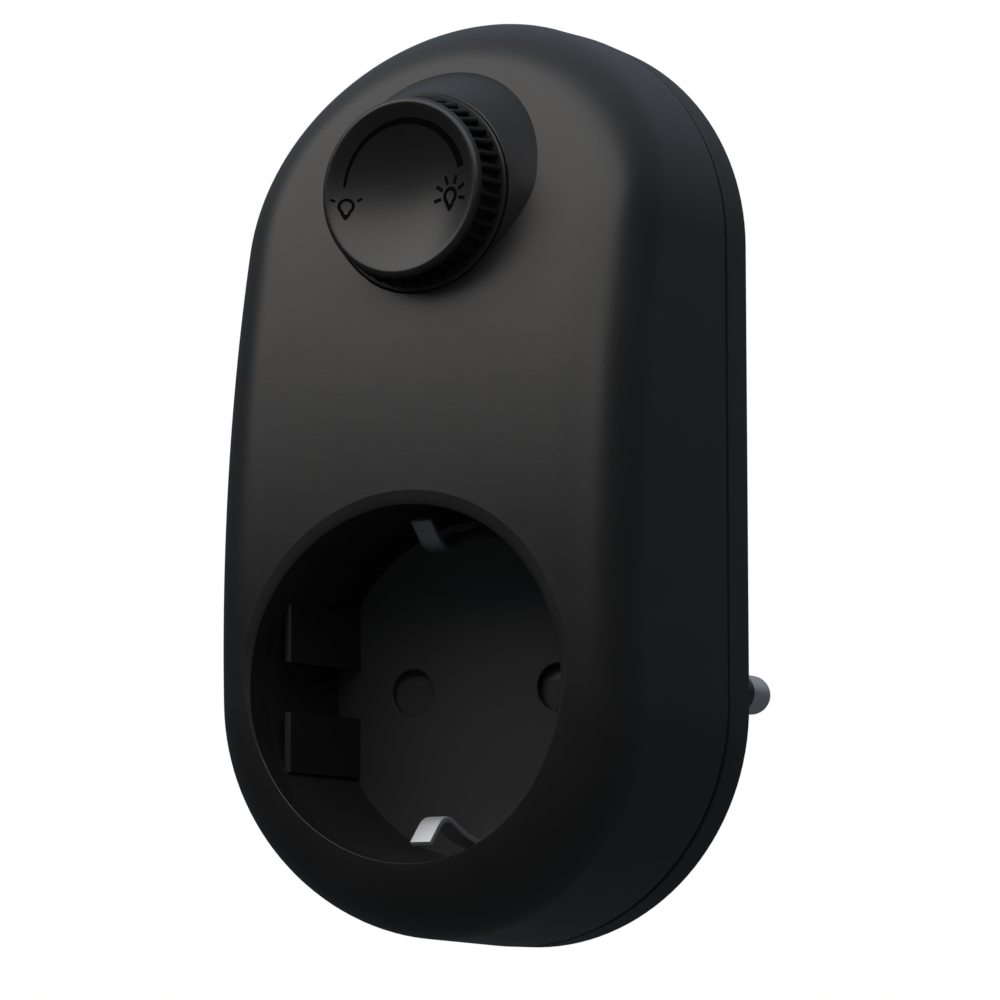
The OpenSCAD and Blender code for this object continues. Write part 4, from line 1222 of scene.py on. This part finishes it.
# Studio: softbox high at the front, cool surround, pale floor
studioForm = {
    "keyAt": (-0.11, -0.82, 0.93),
    "keySize": (2.8, 1.2),
    "keyPower": 19.5,
    "keyColour": (1.0, 0.955, 0.92),
    "target": (0.0, -0.04, 0.02),
    "ambient": (0.34, 0.373, 0.425),
    "surround": [
        (0.0, (0.044, 0.049, 0.057)), (0.46, (0.046, 0.052, 0.060)), (0.56, (0.054, 0.061, 0.071)),
        (0.75, (0.18, 0.205, 0.24)), (1.0, (0.42, 0.48, 0.56)),
    ],
    "surroundSides": (0.6, 1.22),
    "tentRadius": 3.5,
    "floorHalf": 4,
    "floorZ": -0.6,
}


def addSoftbox(name, at, size, power, colour):
    data = bpy.data.lights.new(name, "AREA")
    data.shape = "RECTANGLE"
    data.size, data.size_y = size
    data.energy = power
    data.color = colour
    lamp = newObject(name, data)
    lamp.location = at
    aim = Vector(studioForm["target"]) - Vector(at)
    lamp.rotation_euler = aim.to_track_quat("-Z", "Y").to_euler()


def addWorld():
    world = bpy.data.worlds.new("studioWorld")
    scene.world = world
    world.use_nodes = True
    tree = world.node_tree
    tree.nodes.clear()
    path = addNode(tree, "ShaderNodeLightPath")
    white = addNode(tree, "ShaderNodeBackground", Color=(1.0, 1.0, 1.0, 1.0))
    ambient = addNode(tree, "ShaderNodeBackground", Color=(*studioForm["ambient"], 1.0))
    seen, shown = (addNode(tree, "ShaderNodeMath", operation="MAXIMUM") for _ in range(2))
    mix = addNode(tree, "ShaderNodeMixShader")
    end = addNode(tree, "ShaderNodeOutputWorld")
    wire(
        tree,
        (path, "Is Camera Ray", seen, 0), (path, "Is Glossy Ray", seen, 1),
        (seen, 0, shown, 0), (path, "Is Transmission Ray", shown, 1),
        (shown, 0, mix, 0), (ambient, 0, mix, 1), (white, 0, mix, 2), (mix, 0, end, "Surface"),
    )


def floorPaper():
    material, _, shader = newMaterial("floorPaper")
    shader.inputs["Base Color"].default_value = (0.86, 0.86, 0.86, 1.0)
    shader.inputs["Roughness"].default_value = 0.9
    return material


def tentCloth(radius):
    # brighter overhead than below, and brighter behind the object than in front of it
    material, tree, shader = newMaterial("tentCloth")
    tree.nodes.remove(shader)
    place = addNode(tree, "ShaderNodeTexCoord")
    split = addNode(tree, "ShaderNodeSeparateXYZ")
    ramp = addNode(tree, "ShaderNodeValToRGB")
    stops = ramp.color_ramp.elements
    rows = studioForm["surround"]
    while len(stops) < len(rows):
        stops.new(0.5)
    for stop, (at, colour) in zip(stops, rows):
        stop.position = at
        stop.color = (*colour, 1.0)
    glow = addNode(tree, "ShaderNodeEmission")
    height = spreadValue(tree, split.outputs["Z"], 0.0, 1.0, -radius, radius)
    strength = spreadValue(tree, split.outputs["Y"], *studioForm["surroundSides"], -radius, radius)
    tree.links.new(height, ramp.inputs["Fac"])
    tree.links.new(strength, glow.inputs["Strength"])
    wire(
        tree,
        (place, "Object", split, "Vector"), (ramp, "Color", glow, "Color"),
        (glow, "Emission", tree.nodes["Material Output"], "Surface"),
    )
    return material


def addStage():
    # pale floor
    mesh = bpy.data.meshes.new("studioFloor")
    half, z, radius = (studioForm[k] for k in ("floorHalf", "floorZ", "tentRadius"))
    corners = [(-half, -half, z), (half, -half, z), (half, half, z), (-half, half, z)]
    mesh.from_pydata(corners, [], [(0, 1, 2, 3)])
    mesh.materials.append(floorPaper())
    floor = newObject("studioFloor", mesh)
    floor.visible_glossy = False  # dark plastic would mirror it along the bottom edge
    # dim tent that only reflections see
    work = bmesh.new()
    bmesh.ops.create_icosphere(work, subdivisions=4, radius=radius)
    tentMesh = bpy.data.meshes.new("studioTent")
    work.to_mesh(tentMesh)
    work.free()
    tentMesh.materials.append(tentCloth(radius))
    tent = newObject("studioTent", tentMesh)
    for ray in ("camera", "diffuse", "shadow", "transmission"):
        setattr(tent, "visible_" + ray, False)


addSoftbox("keySoftbox", *(studioForm[k] for k in ("keyAt", "keySize", "keyPower", "keyColour")))
addWorld()
addStage()
print("studio ready")
